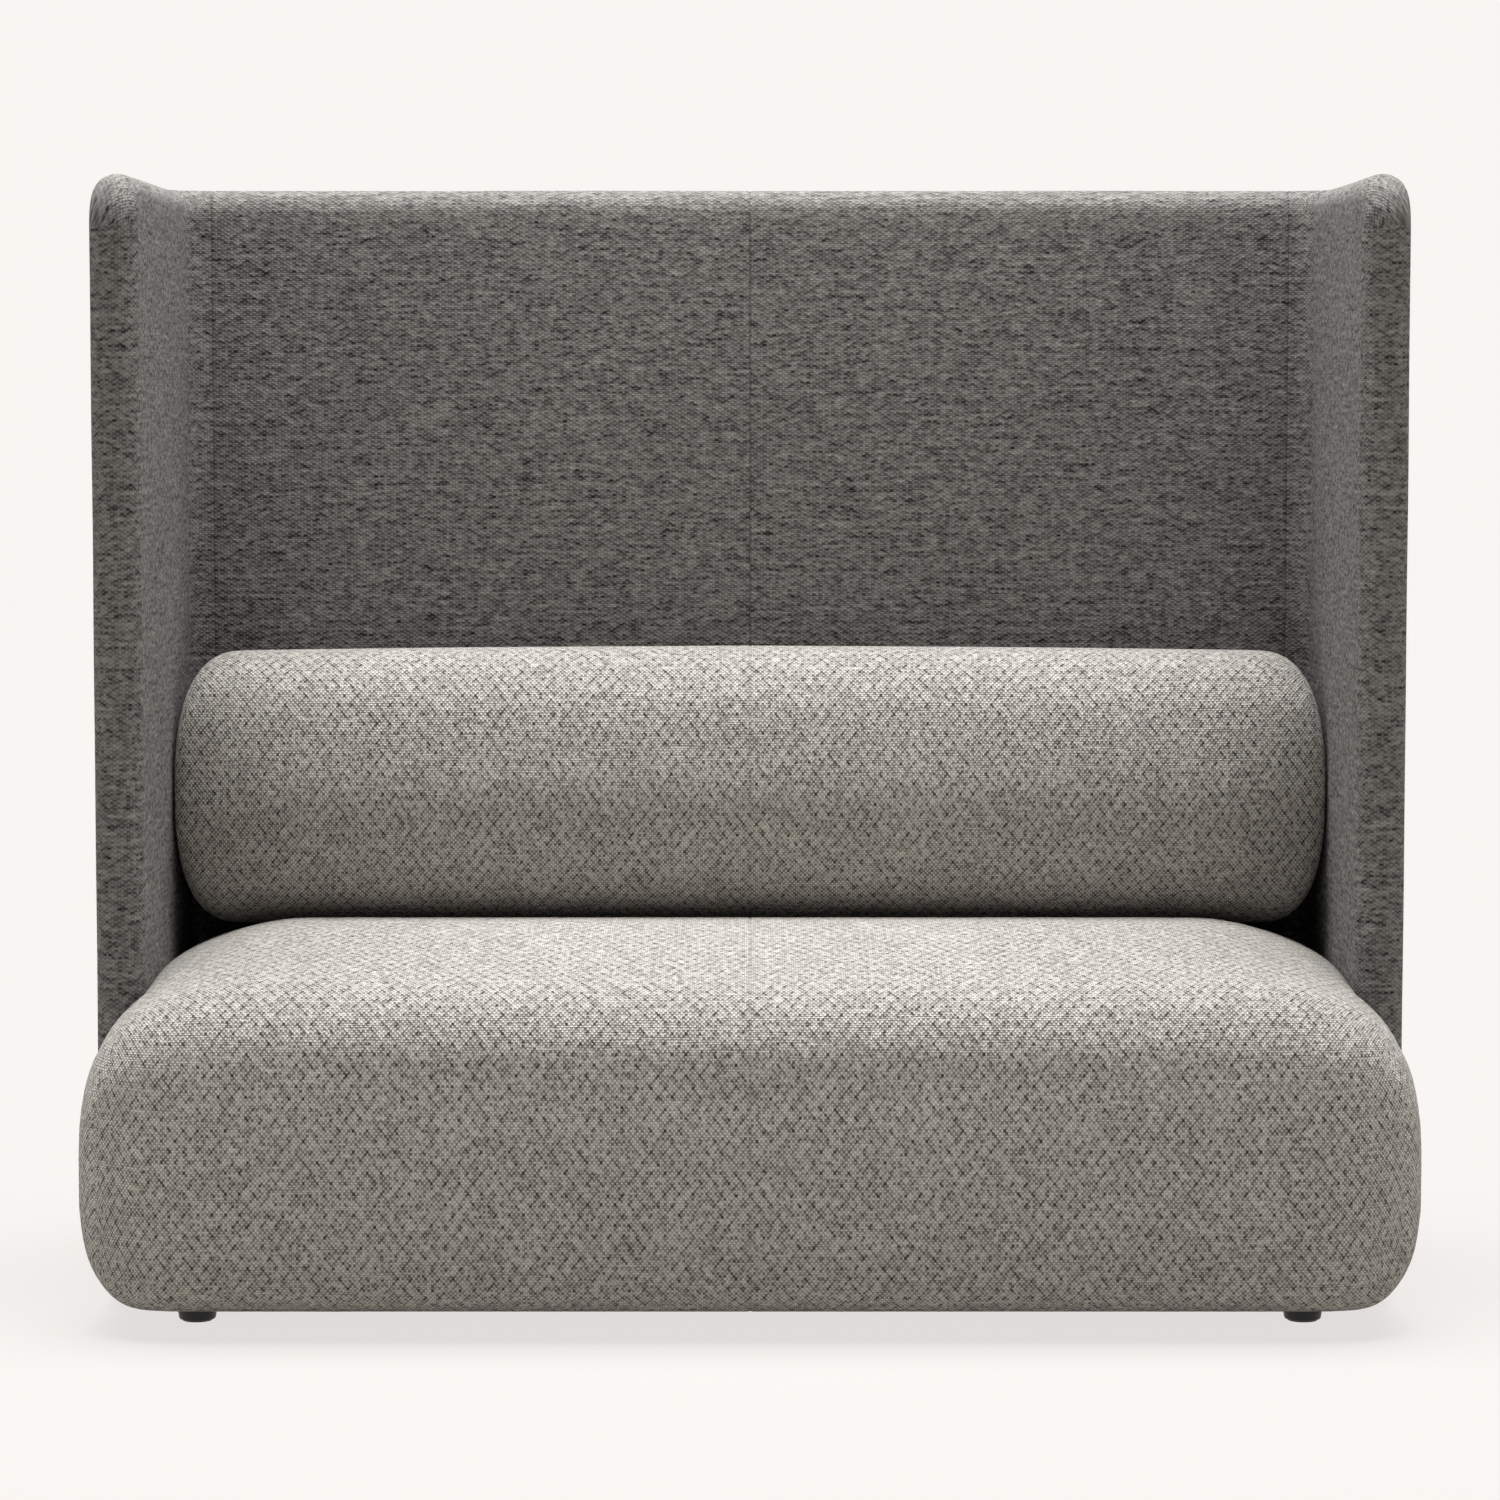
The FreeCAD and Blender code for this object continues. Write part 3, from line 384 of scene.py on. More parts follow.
def rolled_cover(name, stations, angles, radius, hub):
    """A cover rolled round a line along X: rings at the stations, closed at both ends."""
    rings = np.zeros((len(stations), len(angles), 3))
    rings[..., 0] = stations[:, None]
    rings[..., 1] = hub[0] - radius * np.cos(angles)
    rings[..., 2] = hub[1] + radius * np.sin(angles)
    rings[:, -1] = rings[:, 0]
    along = np.zeros(radius.shape)
    step = np.linalg.norm(np.diff(rings, axis=0), axis=2)
    along[1:] = np.cumsum(np.minimum(step, 3 * COVER_STEP), axis=0)
    along -= along[len(stations) // 2]
    around = np.zeros(radius.shape)
    step = np.linalg.norm(np.diff(rings, axis=1), axis=2)
    around[:, 1:] = np.cumsum(step, axis=1)
    front = int(np.argmin(np.abs(angles)))
    around -= around[:, front:front + 1]
    sheet = Sheet()
    sheet.grid(rings, np.stack([along, around], axis=2))
    for end in (0, -1):
        shrink = np.linspace(1, 0, COVER_CAP_ROWS)[:, None, None]
        middle = rings[end].mean(axis=0)
        cap = middle + (rings[end] - middle) * shrink
        lay = np.stack([cap[..., 1], cap[..., 2]], axis=2)
        if end == 0:
            cap, lay = cap[::-1], lay[::-1]
        sheet.grid(cap, lay)
    piece = sheet.piece(name)
    lay_ends_flat(piece)
    return piece


def evened(piece, values):
    """Values at a piece's points, each drawn towards its neighbours a few times."""
    edges = np.array([edge.vertices[:] for edge in piece.data.edges])
    ends = np.concatenate([edges, edges[:, ::-1]])
    count = np.bincount(ends[:, 0], minlength=len(values))
    for _ in range(INFLATE_EVENING):
        values = np.bincount(ends[:, 0], values[ends[:, 1]], len(values)) / count
    return values


def inflate(piece, held, cap):
    """Let air pressure swell a cover up to a cap, held where it rests; the foam lets it sink very little."""
    cut = points_of(piece)
    outward = normals_of(piece)
    rest = piece.vertex_groups.new(name="rest")
    for share in HELD_SHARES:
        chosen = np.nonzero((held > share - HELD_SHARES[0]) & (held <= share))[0]
        rest.add([int(i) for i in chosen], share, "REPLACE")
    cloth = piece.modifiers.new("cloth", "CLOTH")
    for name, value in INFLATE_CLOTH.items():
        setattr(cloth.settings, name, value)
    cloth.settings.effector_weights.gravity = 0
    cloth.settings.vertex_group_mass = "rest"
    cloth.point_cache.frame_start = 1
    cloth.point_cache.frame_end = INFLATE_FRAMES
    scene = bpy.context.scene
    for number in range(1, INFLATE_FRAMES + 1):
        scene.frame_set(number)
    swollen = points_of(piece.evaluated_get(bpy.context.evaluated_depsgraph_get()))
    piece.modifiers.remove(cloth)
    piece.vertex_groups.remove(rest)
    scene.frame_set(1)
    swell = ((swollen - cut) * outward).sum(axis=1)
    limit = np.where(swell > 0, cap, INFLATE_SINK)
    swell = evened(piece, limit * np.tanh(swell / limit) * (1 - held))
    move_points(piece, cut + outward * swell[:, None])


def sew_middle_seam(piece):
    """Pull the cover in along the middle, and mark the seam for the finish."""
    points = points_of(piece)
    near = np.exp(-(points[:, 0] / SEAM_HALF_WIDTH) ** 2)
    move_points(piece, points - normals_of(piece) * (SEAM_DEPTH * near)[:, None])
    put_attribute(piece, "seam", near)


def cover_stations(limit):
    """Ring places from the middle to one end, closer together at the middle seam."""
    count = int((limit - SEAM_OFFSETS[-1]) / COVER_STEP)
    rest = np.linspace(SEAM_OFFSETS[-1], limit, count + 1)[1:]
    return list(SEAM_OFFSETS) + list(rest)


def closing_stations(start, limit, count):
    """Ring places over a rounded end, closer and closer together."""
    return list(start + (limit - start) * np.sin(np.linspace(0, math.pi / 2, count + 1)[1:]))


def make_seat_cover():
    """The pillow-like seat cover, with its ears in front of the wings."""
    low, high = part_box("seat_cover")
    inside_x = high.x - 2 * WALL_HALF - SEAT_SIDE_GAP
    half = cover_stations(inside_x)
    ear_start = inside_x + SEAT_EAR_GAP
    ear = [ear_start] + closing_stations(ear_start, high.x - COVER_END_GAP, SEAT_EAR_RINGS)
    stations = mirrored(half + ear)
    angles, radius = measured_rings("seat_cover", stations, SEAT_HUB, low.z)
    rows, places = [radius[0]], [stations[0]]
    for row in range(1, len(stations)):
        near, far = sorted(abs(stations[row - 1:row + 1]))
        if near == half[-1] and far == ear_start:
            for t in np.linspace(0, 1, SEAT_STEP_RINGS + 2)[1:-1]:
                rows.append(radius[row - 1] * (1 - t) + radius[row] * t)
                places.append(stations[row - 1] * (1 - t) + stations[row] * t)
        rows.append(radius[row])
        places.append(stations[row])
    places = np.array(places)
    places += np.sign(places) * SEAT_EAR_SWELL * ramp_up(np.abs(places), inside_x, high.x)
    piece = rolled_cover("seat_cover_cloth", places, angles, np.array(rows), SEAT_HUB)
    points = points_of(piece)
    x, y, z = np.abs(points[:, 0]), points[:, 1], points[:, 2]
    crown = SEAT_CROWN * ramp_up(y, *SEAT_CROWN_COMES_Y) * (1 - ramp_up(y, *SEAT_CROWN_GOES_Y))
    points[:, 2] += crown * (1 - ramp_up(x, *SWELL_GOES_X)) * ramp_up(z, *SEAT_CROWN_Z)
    move_points(piece, points)
    held = ramp_down(z, *SEAT_HELD_Z)
    held = np.maximum(held, ramp_up(x, *SEAT_HELD_WING_X) * ramp_up(y, *SEAT_HELD_WING_Y))
    held = np.maximum(held, ramp_up(y, *SEAT_HELD_BACK_Y))
    inflate(piece, held, SEAT_SWELL)
    sew_middle_seam(piece)
    return piece


def make_bolster_cover():
    """The long lumbar bolster's cover."""
    low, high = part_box("bolster_cover")
    end_start = high.x - BOLSTER_END_RUN
    end = closing_stations(end_start, high.x - COVER_END_GAP, BOLSTER_END_RINGS)
    stations = mirrored(cover_stations(end_start) + end)
    angles, radius = measured_rings("bolster_cover", stations, BOLSTER_HUB)
    crown = BOLSTER_CROWN * (1 - BOLSTER_CROWN_FALL * (stations / high.x) ** 2)
    radius += crown[:, None] * np.maximum(0, np.sin(angles)) ** 2
    belly = BOLSTER_BELLY * np.exp(-((angles - BOLSTER_BELLY_TURN) / BOLSTER_BELLY_SPREAD) ** 2)
    radius += belly * (1 - ramp_up(np.abs(stations), *SWELL_GOES_X))[:, None]
    below = np.sin(angles) < 0
    radius[:, below] = np.minimum(radius[:, below], (low.z - BOLSTER_HUB[1]) / np.sin(angles[below]))
    piece = rolled_cover("bolster_cover_cloth", stations, angles, radius, BOLSTER_HUB)
    points = points_of(piece)
    x, y, z = np.abs(points[:, 0]), points[:, 1], points[:, 2]
    held = ramp_down(z, *BOLSTER_HELD_Z)
    held = np.maximum(held, ramp_up(y, *BOLSTER_HELD_BACK_Y))
    held = np.maximum(held, ramp_up(x, *BOLSTER_HELD_END_X))
    inflate(piece, held, BOLSTER_SWELL)
    sew_middle_seam(piece)
    return piece


def wall_line(low, high):
    """A place finder along the shell's middle line, and the lengths of a wing, a bend and the whole line."""
    mid_x = high.x - WALL_HALF
    mid_y = high.y - WALL_HALF
    front = low.y + WALL_HALF
    bend_x = mid_x - WALL_BEND_R
    bend_y = mid_y - WALL_BEND_R
    wing = bend_y - front
    bend = WALL_BEND_R * math.pi / 2
    total = 2 * (wing + bend + bend_x)

    def at(s):
        side = -1 if s <= total / 2 else 1
        t = s if side < 0 else total - s
        if t <= wing:
            place, out, ahead = (side * mid_x, front + t), (side, 0), (0, -side)
        elif t <= wing + bend:
            a = (t - wing) / WALL_BEND_R
            out = (side * math.cos(a), math.sin(a))
            place = (side * bend_x + WALL_BEND_R * out[0], bend_y + WALL_BEND_R * out[1])
            ahead = (math.sin(a), -side * math.cos(a))
        else:
            place, out, ahead = (side * (bend_x - (t - wing - bend)), mid_y), (0, 1), (1, 0)
        return [np.array([*flat, 0.0]) for flat in (place, out, ahead)]

    return at, wing, bend, total


def wall_stations(wing, bend, total):
    """Places along the shell's middle line, closer at the front corners, the bends and the seams."""
    corner = [WALL_CORNER_R * (1 - math.cos(a)) for a in np.linspace(0, math.pi / 2, WALL_CORNER_STEPS)]
    run = list(np.arange(WALL_CORNER_R + WALL_STEP, wing - WALL_STEP / 2, WALL_STEP))
    bent = list(np.linspace(wing, wing + bend, WALL_BEND_STEPS + 1))
    seam = wing + bend
    around_seam = [seam + d for d in SEAM_OFFSETS]
    back_end = total / 2 - SEAM_OFFSETS[-1]
    count = int((back_end - around_seam[-1]) / WALL_STEP)
    flat = list(np.linspace(around_seam[-1], back_end, count + 1)[1:])
    middle = [total / 2 - d for d in reversed(SEAM_OFFSETS[:-1])]
    bent = [s for s in bent if min(abs(s - seam + d) for d in SEAM_OFFSETS) > SEAM_CLEAR]
    bent_seam = [seam - d for d in SEAM_OFFSETS]
    half = sorted(set(np.round(corner + run + bent + bent_seam + around_seam + flat + middle, 6)))
    return np.array(half + [total / 2] + [total - s for s in reversed(half)])


def wall_lay(from_end, wing, bend, side):
    """Length along the wall's cloth from a front end, which round the bend is longer on the outer side."""
    turned = np.clip(from_end - wing, 0, bend) / WALL_BEND_R
    return from_end + side * turned


def rim_lay(from_end, turn):
    """Lengths along the rim's cloth from a front end, which round the front corner are longer further out."""
    if from_end >= WALL_CORNER_R:
        return np.full(len(turn), from_end)
    bent = math.asin(1 - from_end / WALL_CORNER_R)
    return WALL_CORNER_R - (WALL_CORNER_R + WALL_HALF * np.sin(turn)) * bent


def make_shell_cover():
    """The shell's cover: a wall with round edges that follows a U, sewn in the middle and at the corners."""
    low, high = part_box("shell_cover")
    at, wing, bend, total = wall_line(low, high)
    stations = wall_stations(wing, bend, total)
    bottom = low.z + WALL_HALF
    top = high.z - WALL_HALF
    levels = np.linspace(0, 1, int((top - bottom) / WALL_STEP) + 1)
    turn = np.linspace(math.pi, 0, WALL_RIM_STEPS + 1)
    seams = [total / 2, wing + bend, total - wing - bend]
    inner, outer, over, under = [], [], [], []
    spans = []
    for s in stations:
        centre, out, ahead = at(s)
        from_end = min(s, total - s)
        outward = ahead * (-1 if s < total / 2 else 1)
        reach = max(0.0, 1 - from_end / WALL_CORNER_R)
        rise = math.sqrt(max(0.0, 1 - reach * reach))
        high_z = top - WALL_CORNER_R * (1 - rise)
        low_z = bottom + WALL_CORNER_R * (1 - rise)
        up = outward * reach + np.array([0, 0, rise])
        down = outward * reach - np.array([0, 0, rise])
        sink = SEAM_DEPTH * max(math.exp(-((s - seam) / SEAM_HALF_WIDTH) ** 2) for seam in seams)
        z = low_z + levels * (high_z - low_z)
        column = centre + np.outer(z, (0, 0, 1))
        inner.append(column - out * (WALL_HALF - sink))
        outer.append(column + out * (WALL_HALF - sink))
        rim = np.cos(turn)[:, None] * out * (WALL_HALF - sink)
        over.append(centre + (0, 0, high_z) + rim + np.sin(turn)[:, None] * up * (WALL_HALF - sink))
        under.append(centre + (0, 0, low_z) + rim + np.sin(turn)[:, None] * down * (WALL_HALF - sink))
        spans.append((low_z, high_z, z))
    inner, outer, over, under = (np.array(part) for part in (inner, outer, over, under))
    arc = WALL_HALF * (math.pi - turn)
    height = np.array([span[2] for span in spans])
    highs = np.array([span[1] for span in spans])[:, None]
    lows = np.array([span[0] for span in spans])[:, None]
    full = 2 * top + WALL_HALF * math.pi
    middle = len(stations) // 2
    sheet = Sheet()
    for half, sign in ((slice(None, middle + 1), 1), (slice(middle, None), -1)):
        from_end = np.minimum(stations[half], total - stations[half])
        tall = height[half]
        inside = sign * wall_lay(from_end, wing, bend, -WALL_HALF)[:, None] + 0 * tall
        outside = sign * wall_lay(from_end, wing, bend, WALL_HALF)[:, None] + 0 * tall
        edge = sign * np.array([rim_lay(t, turn) for t in from_end])
        sheet.grid(inner[half], np.stack([inside, tall], axis=2))
        sheet.grid(over[half], np.stack([edge, highs[half] + arc], axis=2))
        sheet.grid(outer[half, ::-1], np.stack([outside, full - tall[:, ::-1]], axis=2))
        sheet.grid(under[half, ::-1], np.stack([edge, lows[half] - arc[::-1]], axis=2))
    for end, sign in ((0, -1), (-1, 1)):
        centre, out, ahead = at(stations[end])
        nose = np.cos(turn)[:, None] * out * WALL_HALF + np.sin(turn)[:, None] * ahead * sign * WALL_HALF
        rows = np.array([centre + (0, 0, z) + nose for z in height[end]])
        lay = np.stack(np.broadcast_arrays(sign * arc, height[end][:, None]), axis=2)
        if end == -1:
            rows, lay = rows[::-1], lay[::-1]
        sheet.grid(rows, lay)
    piece = sheet.piece("shell_cover_cloth")
    mesh = bmesh.new()
    mesh.from_mesh(piece.data)
    bmesh.ops.recalc_face_normals(mesh, faces=mesh.faces)
    mesh.to_mesh(piece.data)
    mesh.free()
    points = points_of(piece)
    x, y = points[:, 0], points[:, 1]
    near = np.exp(-(x / SEAM_HALF_WIDTH) ** 2)
    bend_x = high.x - WALL_HALF - WALL_BEND_R
    corner = np.exp(-((np.abs(x) - bend_x) / SEAM_HALF_WIDTH) ** 2) * (y > high.y - 3 * WALL_HALF)
    sunk = unevenness(2 * points) * WALL_UNEVEN
    move_points(piece, points - normals_of(piece) * sunk[:, None])
    put_attribute(piece, "seam", np.maximum(near, corner))
    # Painted highlight: the cloth is painted lighter towards the top of the rim, where the light from above
    # falls
    put_attribute(piece, "rim_painted_highlight", ramp_up(points[:, 2], high.z - RIM_PAINTED_HIGHLIGHT_BEGINS, high.z - RIM_PAINTED_HIGHLIGHT_FULL))
    return piece


class NodeTree:
    """Short calls for the nodes of a tree."""

    def __init__(self, tree):
        self.tree = tree

    def feed(self, socket, value):
        if isinstance(value, bpy.types.NodeSocket):
            self.tree.links.new(value, socket)
        else:
            socket.default_value = value

    def node(self, kind, feeds=None, **settings):
        """A new node's outputs, once its settings are made and its inputs fed."""
        made = self.tree.nodes.new(kind)
        for key, value in settings.items():
            setattr(made, key, value)
        for key, value in (feeds or {}).items():
            self.feed(made.inputs[key], value)
        return made.outputs

    def math(self, operation, a, b=0.0):
        return self.node("ShaderNodeMath", {0: a, 1: b}, operation=operation)[0]

    def seen_directly(self):
        """1 for rays from the camera, off gloss or through glass, else 0."""
        path = self.node("ShaderNodeLightPath")
        total = path["Is Camera Ray"]
        for name in ("Is Glossy Ray", "Is Transmission Ray"):
            total = self.math("MAXIMUM", total, path[name])
        return total


class Finish(NodeTree):
    """A material with short calls for its patterns."""

    def __init__(self, name):
        self.material = bpy.data.materials.new(name)
        self.material.use_nodes = True
        super().__init__(self.material.node_tree)
        self.shader = self.tree.nodes["Principled BSDF"]

    def scaled(self, vector, scale):
        return self.node("ShaderNodeVectorMath", {0: vector, 1: scale}, operation="MULTIPLY")[0]

    def noise(self, vector, scale, detail=2.0, roughness=0.5):
        feeds = {"Vector": vector, "Scale": scale, "Detail": detail, "Roughness": roughness}
        return self.node("ShaderNodeTexNoise", feeds)["Fac"]

    def object_place(self):
        return self.node("ShaderNodeTexCoord")["Object"]

    def parts(self, vector):
        return self.node("ShaderNodeSeparateXYZ", {0: vector})

    def attribute(self, name):
        return self.node("ShaderNodeAttribute", attribute_name=name)["Fac"]

    def lay(self):
        """The cloth's own flat coordinates in metres, as a vector and its two parts."""
        spot = self.node("ShaderNodeUVMap", uv_map="weave")["UV"]
        parts = self.parts(spot)
        return spot, parts[0], parts[1]

    def wandered(self, value, spot, repeats, reach):
        """A coordinate that noise moves to and fro."""
        shift = self.math("SUBTRACT", self.noise(spot, repeats), 0.5)
        return self.math("ADD", value, self.math("MULTIPLY", shift, reach))

    def stretched_noise(self, spot, repeats, detail):
        """Noise with its own repeats per metre along and across the cloth."""
        return self.noise(self.scaled(spot, (*repeats, 1.0)), 1.0, detail)

    def wave(self, value, repeats=1):
        """A smooth wave from 0 to 1 that repeats so often in each whole step of a value."""
        turn = self.math("MULTIPLY", value, 2 * math.pi * repeats)
        return self.math("ADD", self.math("MULTIPLY", self.math("COSINE", turn), 0.5), 0.5)

    def diagonals(self, u, v, period):
        """Counts along the two diagonals of a weave that repeats each period across and up."""
        across = self.math("DIVIDE", u, period[0])
        up = self.math("DIVIDE", v, period[1])
        return self.math("ADD", across, up), self.math("SUBTRACT", across, up)

    def yarns(self, u, v, period):
        """A diagonal weave's ribs, and a shade of its own for each yarn that shows."""
        a, b = self.diagonals(u, v, period)
        rib = self.math("MULTIPLY", self.wave(a), self.wave(b))
        cell = self.node("ShaderNodeCombineXYZ", {0: self.math("FLOOR", a), 1: self.math("FLOOR", b)})[0]
        return rib, self.node("ShaderNodeTexWhiteNoise", {"Vector": cell}, noise_dimensions="2D")["Value"]

    def together(self, *weighted):
        """The sum of values, each times its weight, round 1."""
        total = 1.0
        for value, weight, centre in weighted:
            part = self.math("MULTIPLY", self.math("SUBTRACT", value, centre), weight)
            total = self.math("ADD", part, total)
        return total

    def tint(self, colour, factor):
        """A colour made lighter or darker by a factor."""
        share = self.math("MAXIMUM", factor, DARKEST_SHARE)
        made = self.node("ShaderNodeVectorMath", {0: colour, "Scale": share}, operation="SCALE")[0]
        self.feed(self.shader.inputs["Base Color"], made)

    def bump(self, height, distance):
        made = self.node("ShaderNodeBump", {"Height": height, "Distance": distance, "Strength": 1.0})[0]
        self.feed(self.shader.inputs["Normal"], made)

    def surface(self, roughness, specular=0.3, sheen=0.0, metallic=0.0):
        self.feed(self.shader.inputs["Roughness"], roughness)
        self.feed(self.shader.inputs["Specular IOR Level"], specular)
        self.feed(self.shader.inputs["Sheen Weight"], sheen)
        self.feed(self.shader.inputs["Metallic"], metallic)


def diamond_cloth():
    """The seat's melange cloth: a fine diagonal weave, a diamond lattice of sunk points, and some slubs."""
    finish = Finish("seat_cloth_weave")
    spot, u, v = finish.lay()
    u = finish.wandered(u, spot, SEAT_WANDER_NOISE, SEAT_WANDER)
    v = finish.wandered(v, spot, SEAT_DRIFT_NOISE, SEAT_WANDER)
    line_a, line_b = (finish.wave(count) for count in finish.diagonals(u, v, SEAT_LATTICE))
    point = finish.math("POWER", finish.math("MULTIPLY", line_a, line_b), 5.0)
    lattice = finish.math("POWER", finish.math("MAXIMUM", line_a, line_b), 14.0)
    rib, yarn = finish.yarns(u, v, SEAT_WEAVE)
    slub = finish.math("POWER", finish.stretched_noise(spot, SEAT_SLUB_NOISE, 1.0), 2.0)
    clump = finish.noise(spot, SEAT_CLUMP_NOISE, 2.0)
    broad = finish.noise(spot, SEAT_BROAD_NOISE, 3.0)
    seam = finish.attribute("seam")
    factor = finish.together(
        (rib, 1.25, 0.25), (yarn, 0.72, 0.5), (point, -0.62, 0.05), (lattice, -0.22, 0.2),
        (clump, 0.50, 0.5), (slub, 1.00, 0.25), (broad, 0.12, 0.5), (seam, -0.06, 0.0),
    )
    finish.tint(SEAT_CLOTH, factor)
    height = finish.together(
        (rib, 1.2, 0.25), (yarn, 0.75, 0.5), (point, -0.6, 0.0), (lattice, -0.15, 0.0),
        (slub, 1.2, 0.25), (clump, 0.6, 0.5),
    )
    finish.bump(height, 0.0010)
    finish.surface(0.92, 0.15, 0.25)
    return finish.material


def slub_cloth():
    """The shell's darker melange cloth: a fine weave with short lighter and darker slubs along its length, and
    a painted highlight near the top of the rim where the light from above falls.
    """
    finish = Finish("shell_cloth_weave")
    spot, u, v = finish.lay()
    v = finish.wandered(v, spot, SHELL_WANDER_NOISE, SHELL_WANDER)
    rib, yarn = finish.yarns(u, v, SHELL_WEAVE)
    dash = finish.stretched_noise(spot, SHELL_DASH_NOISE, 2.0)
    streak = finish.stretched_noise(spot, SHELL_STREAK_NOISE, 1.0)
    clump = finish.noise(spot, SHELL_CLUMP_NOISE, 2.0)
    broad = finish.noise(spot, SHELL_BROAD_NOISE, 3.0)
    seam = finish.attribute("seam")
    rim_painted_highlight = finish.attribute("rim_painted_highlight")
    # The rim's share is a painted highlight, lighter towards the top of the rim
    factor = finish.together(
        (rib, 0.65, 0.25), (yarn, 0.75, 0.5), (dash, 2.1, 0.5), (streak, 1.1, 0.5),
        (clump, 0.6, 0.5), (broad, 0.12, 0.5), (seam, -0.30, 0.0), (rim_painted_highlight, RIM_PAINTED_HIGHLIGHT, 0.0),
    )
    finish.tint(SHELL_CLOTH, factor)
    height = finish.together((rib, 0.8, 0.25), (yarn, 0.8, 0.5), (dash, 1.6, 0.5), (clump, 1.2, 0.5))
    finish.bump(height, 0.0009)
    finish.surface(0.93, 0.12, 0.05)
    return finish.material


def grained_timber(name, along):
    """Pale planed timber with its grain along one axis."""
    finish = Finish(name)
    place = finish.object_place()
    broad = [22.0, 22.0, 22.0]
    broad[along] = 1.3
    narrow = [420.0, 420.0, 420.0]
    narrow[along] = 11.0
    bands = finish.wave(finish.noise(finish.scaled(place, broad), 1.0, 2.0), 9)
    fibre = finish.noise(finish.scaled(place, narrow), 1.0, 3.0)
    finish.tint(TIMBER, finish.together((bands, 0.28, 0.5), (fibre, 0.55, 0.5)))
    finish.bump(fibre, 0.00025)
    finish.surface(0.62, 0.3)
    return finish.material


def grained(name, colour, depth, surface, *grains):
    """A plain finish with one or two grains of noise.

    Each grain has its repeats per metre along X, Y and Z, its detail and roughness, and its part in the
    colour and in the height.
    """
    finish = Finish(name)
    place = finish.object_place()
    shades, heights = [], []
    for repeats, detail, roughness, shade, height in grains:
        grain = finish.noise(finish.scaled(place, repeats), 1.0, detail, roughness)
        shades.append((grain, shade, 0.5))
        heights.append((grain, height, 0.5))
    finish.tint(colour, finish.together(*shades))
    finish.bump(finish.together(*heights), depth)
    finish.surface(*surface)
    return finish.material


def moulded_plastic(name, colour, roughness):
    """Moulded plastic with a fine spark-eroded grain."""
    return grained(name, colour, 0.00008, (roughness, 0.4),
                   ((1500.0,) * 3, 2.0, 0.5, 0.5, 1.0), ((60.0,) * 3, 3.0, 0.5, 0.6, 0.0))


def spun_thread(name, colour):
    """Sewing thread with a slight twist."""
    return grained(name, colour, 0.0001, (0.7, 0.3, 0.1), ((2600.0,) * 3, 1.0, 0.5, 0.6, 1.0))


def strap_weave(name, along):
    """Black elastic webbing: ribs along the strap and fine cross yarns."""
    finish = Finish(name)
    parts = finish.parts(finish.object_place())
    ribs = finish.wave(parts[1 - along], 320)
    picks = finish.wave(parts[along], 900)
    stripe = finish.math("GREATER_THAN", finish.wave(parts[1 - along], 40), 0.93)
    finish.tint(WEB_BLACK, finish.together((ribs, 0.5, 0.5), (picks, 0.4, 0.5), (stripe, 2.5, 0.0)))
    finish.bump(finish.together((ribs, 1.0, 0.5), (picks, 0.6, 0.5)), 0.0003)
    finish.surface(0.85, 0.2, 0.1)
    return finish.material


def bonded_cloth():
    """Black bonded dust cloth with a pressed dot pattern."""
    finish = Finish("bonded_cloth")
    place = finish.object_place()
    parts = finish.parts(place)
    across, along = finish.wave(parts[0], 420), finish.wave(parts[1], 420)
    dots = finish.math("POWER", finish.math("MULTIPLY", across, along), 2.0)
    cloud = finish.noise(place, 90.0, 4.0)
    finish.tint(DUST_BLACK, finish.together((dots, -0.5, 0.1), (cloud, 0.9, 0.5)))
    finish.bump(finish.together((dots, -1.0, 0.0), (cloud, 0.5, 0.5)), 0.0002)
    finish.surface(0.8, 0.25, 0.1)
    return finish.material


def layer_mesh(node, step):
    """A node's form as a finer mesh with its faces a little uneven, always inside the node's own space."""
    mesh = bmesh.new()
    mesh.from_mesh(nodes[node].data)
    bmesh.ops.remove_doubles(mesh, verts=mesh.verts, dist=1e-5)
    for _ in range(LAYER_SPLITS):
        long_edges = [edge for edge in mesh.edges if edge.calc_length() > step]
        if not long_edges:
            break
        bmesh.ops.subdivide_edges(mesh, edges=long_edges, cuts=1)
        bmesh.ops.triangulate(mesh, faces=[face for face in mesh.faces if len(face.verts) > 4])
    mesh.normal_update()
    places = np.array([vert.co for vert in mesh.verts])
    for vert, amount in zip(mesh.verts, unevenness(6 * places)):
        vert.co -= vert.normal * (LAYER_UNEVEN * amount)
    for edge in mesh.edges:
        edge.smooth = edge.calc_face_angle(0) < LAYER_CREASE
    for face in mesh.faces:
        face.smooth = True
    made = bpy.data.meshes.new(node + "_layer")
    mesh.to_mesh(made)
    mesh.free()
    return put_in_scene(node + "_layer", made)


def dress(piece, finish):
    """Give a piece one finish all over."""
    piece.data.materials.clear()
    piece.data.materials.append(finish)


def lay_in(piece, body, node, finish):
    """Give a piece its finish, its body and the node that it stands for."""
    dress(piece, finish)
    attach(piece, body)
    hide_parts(node)


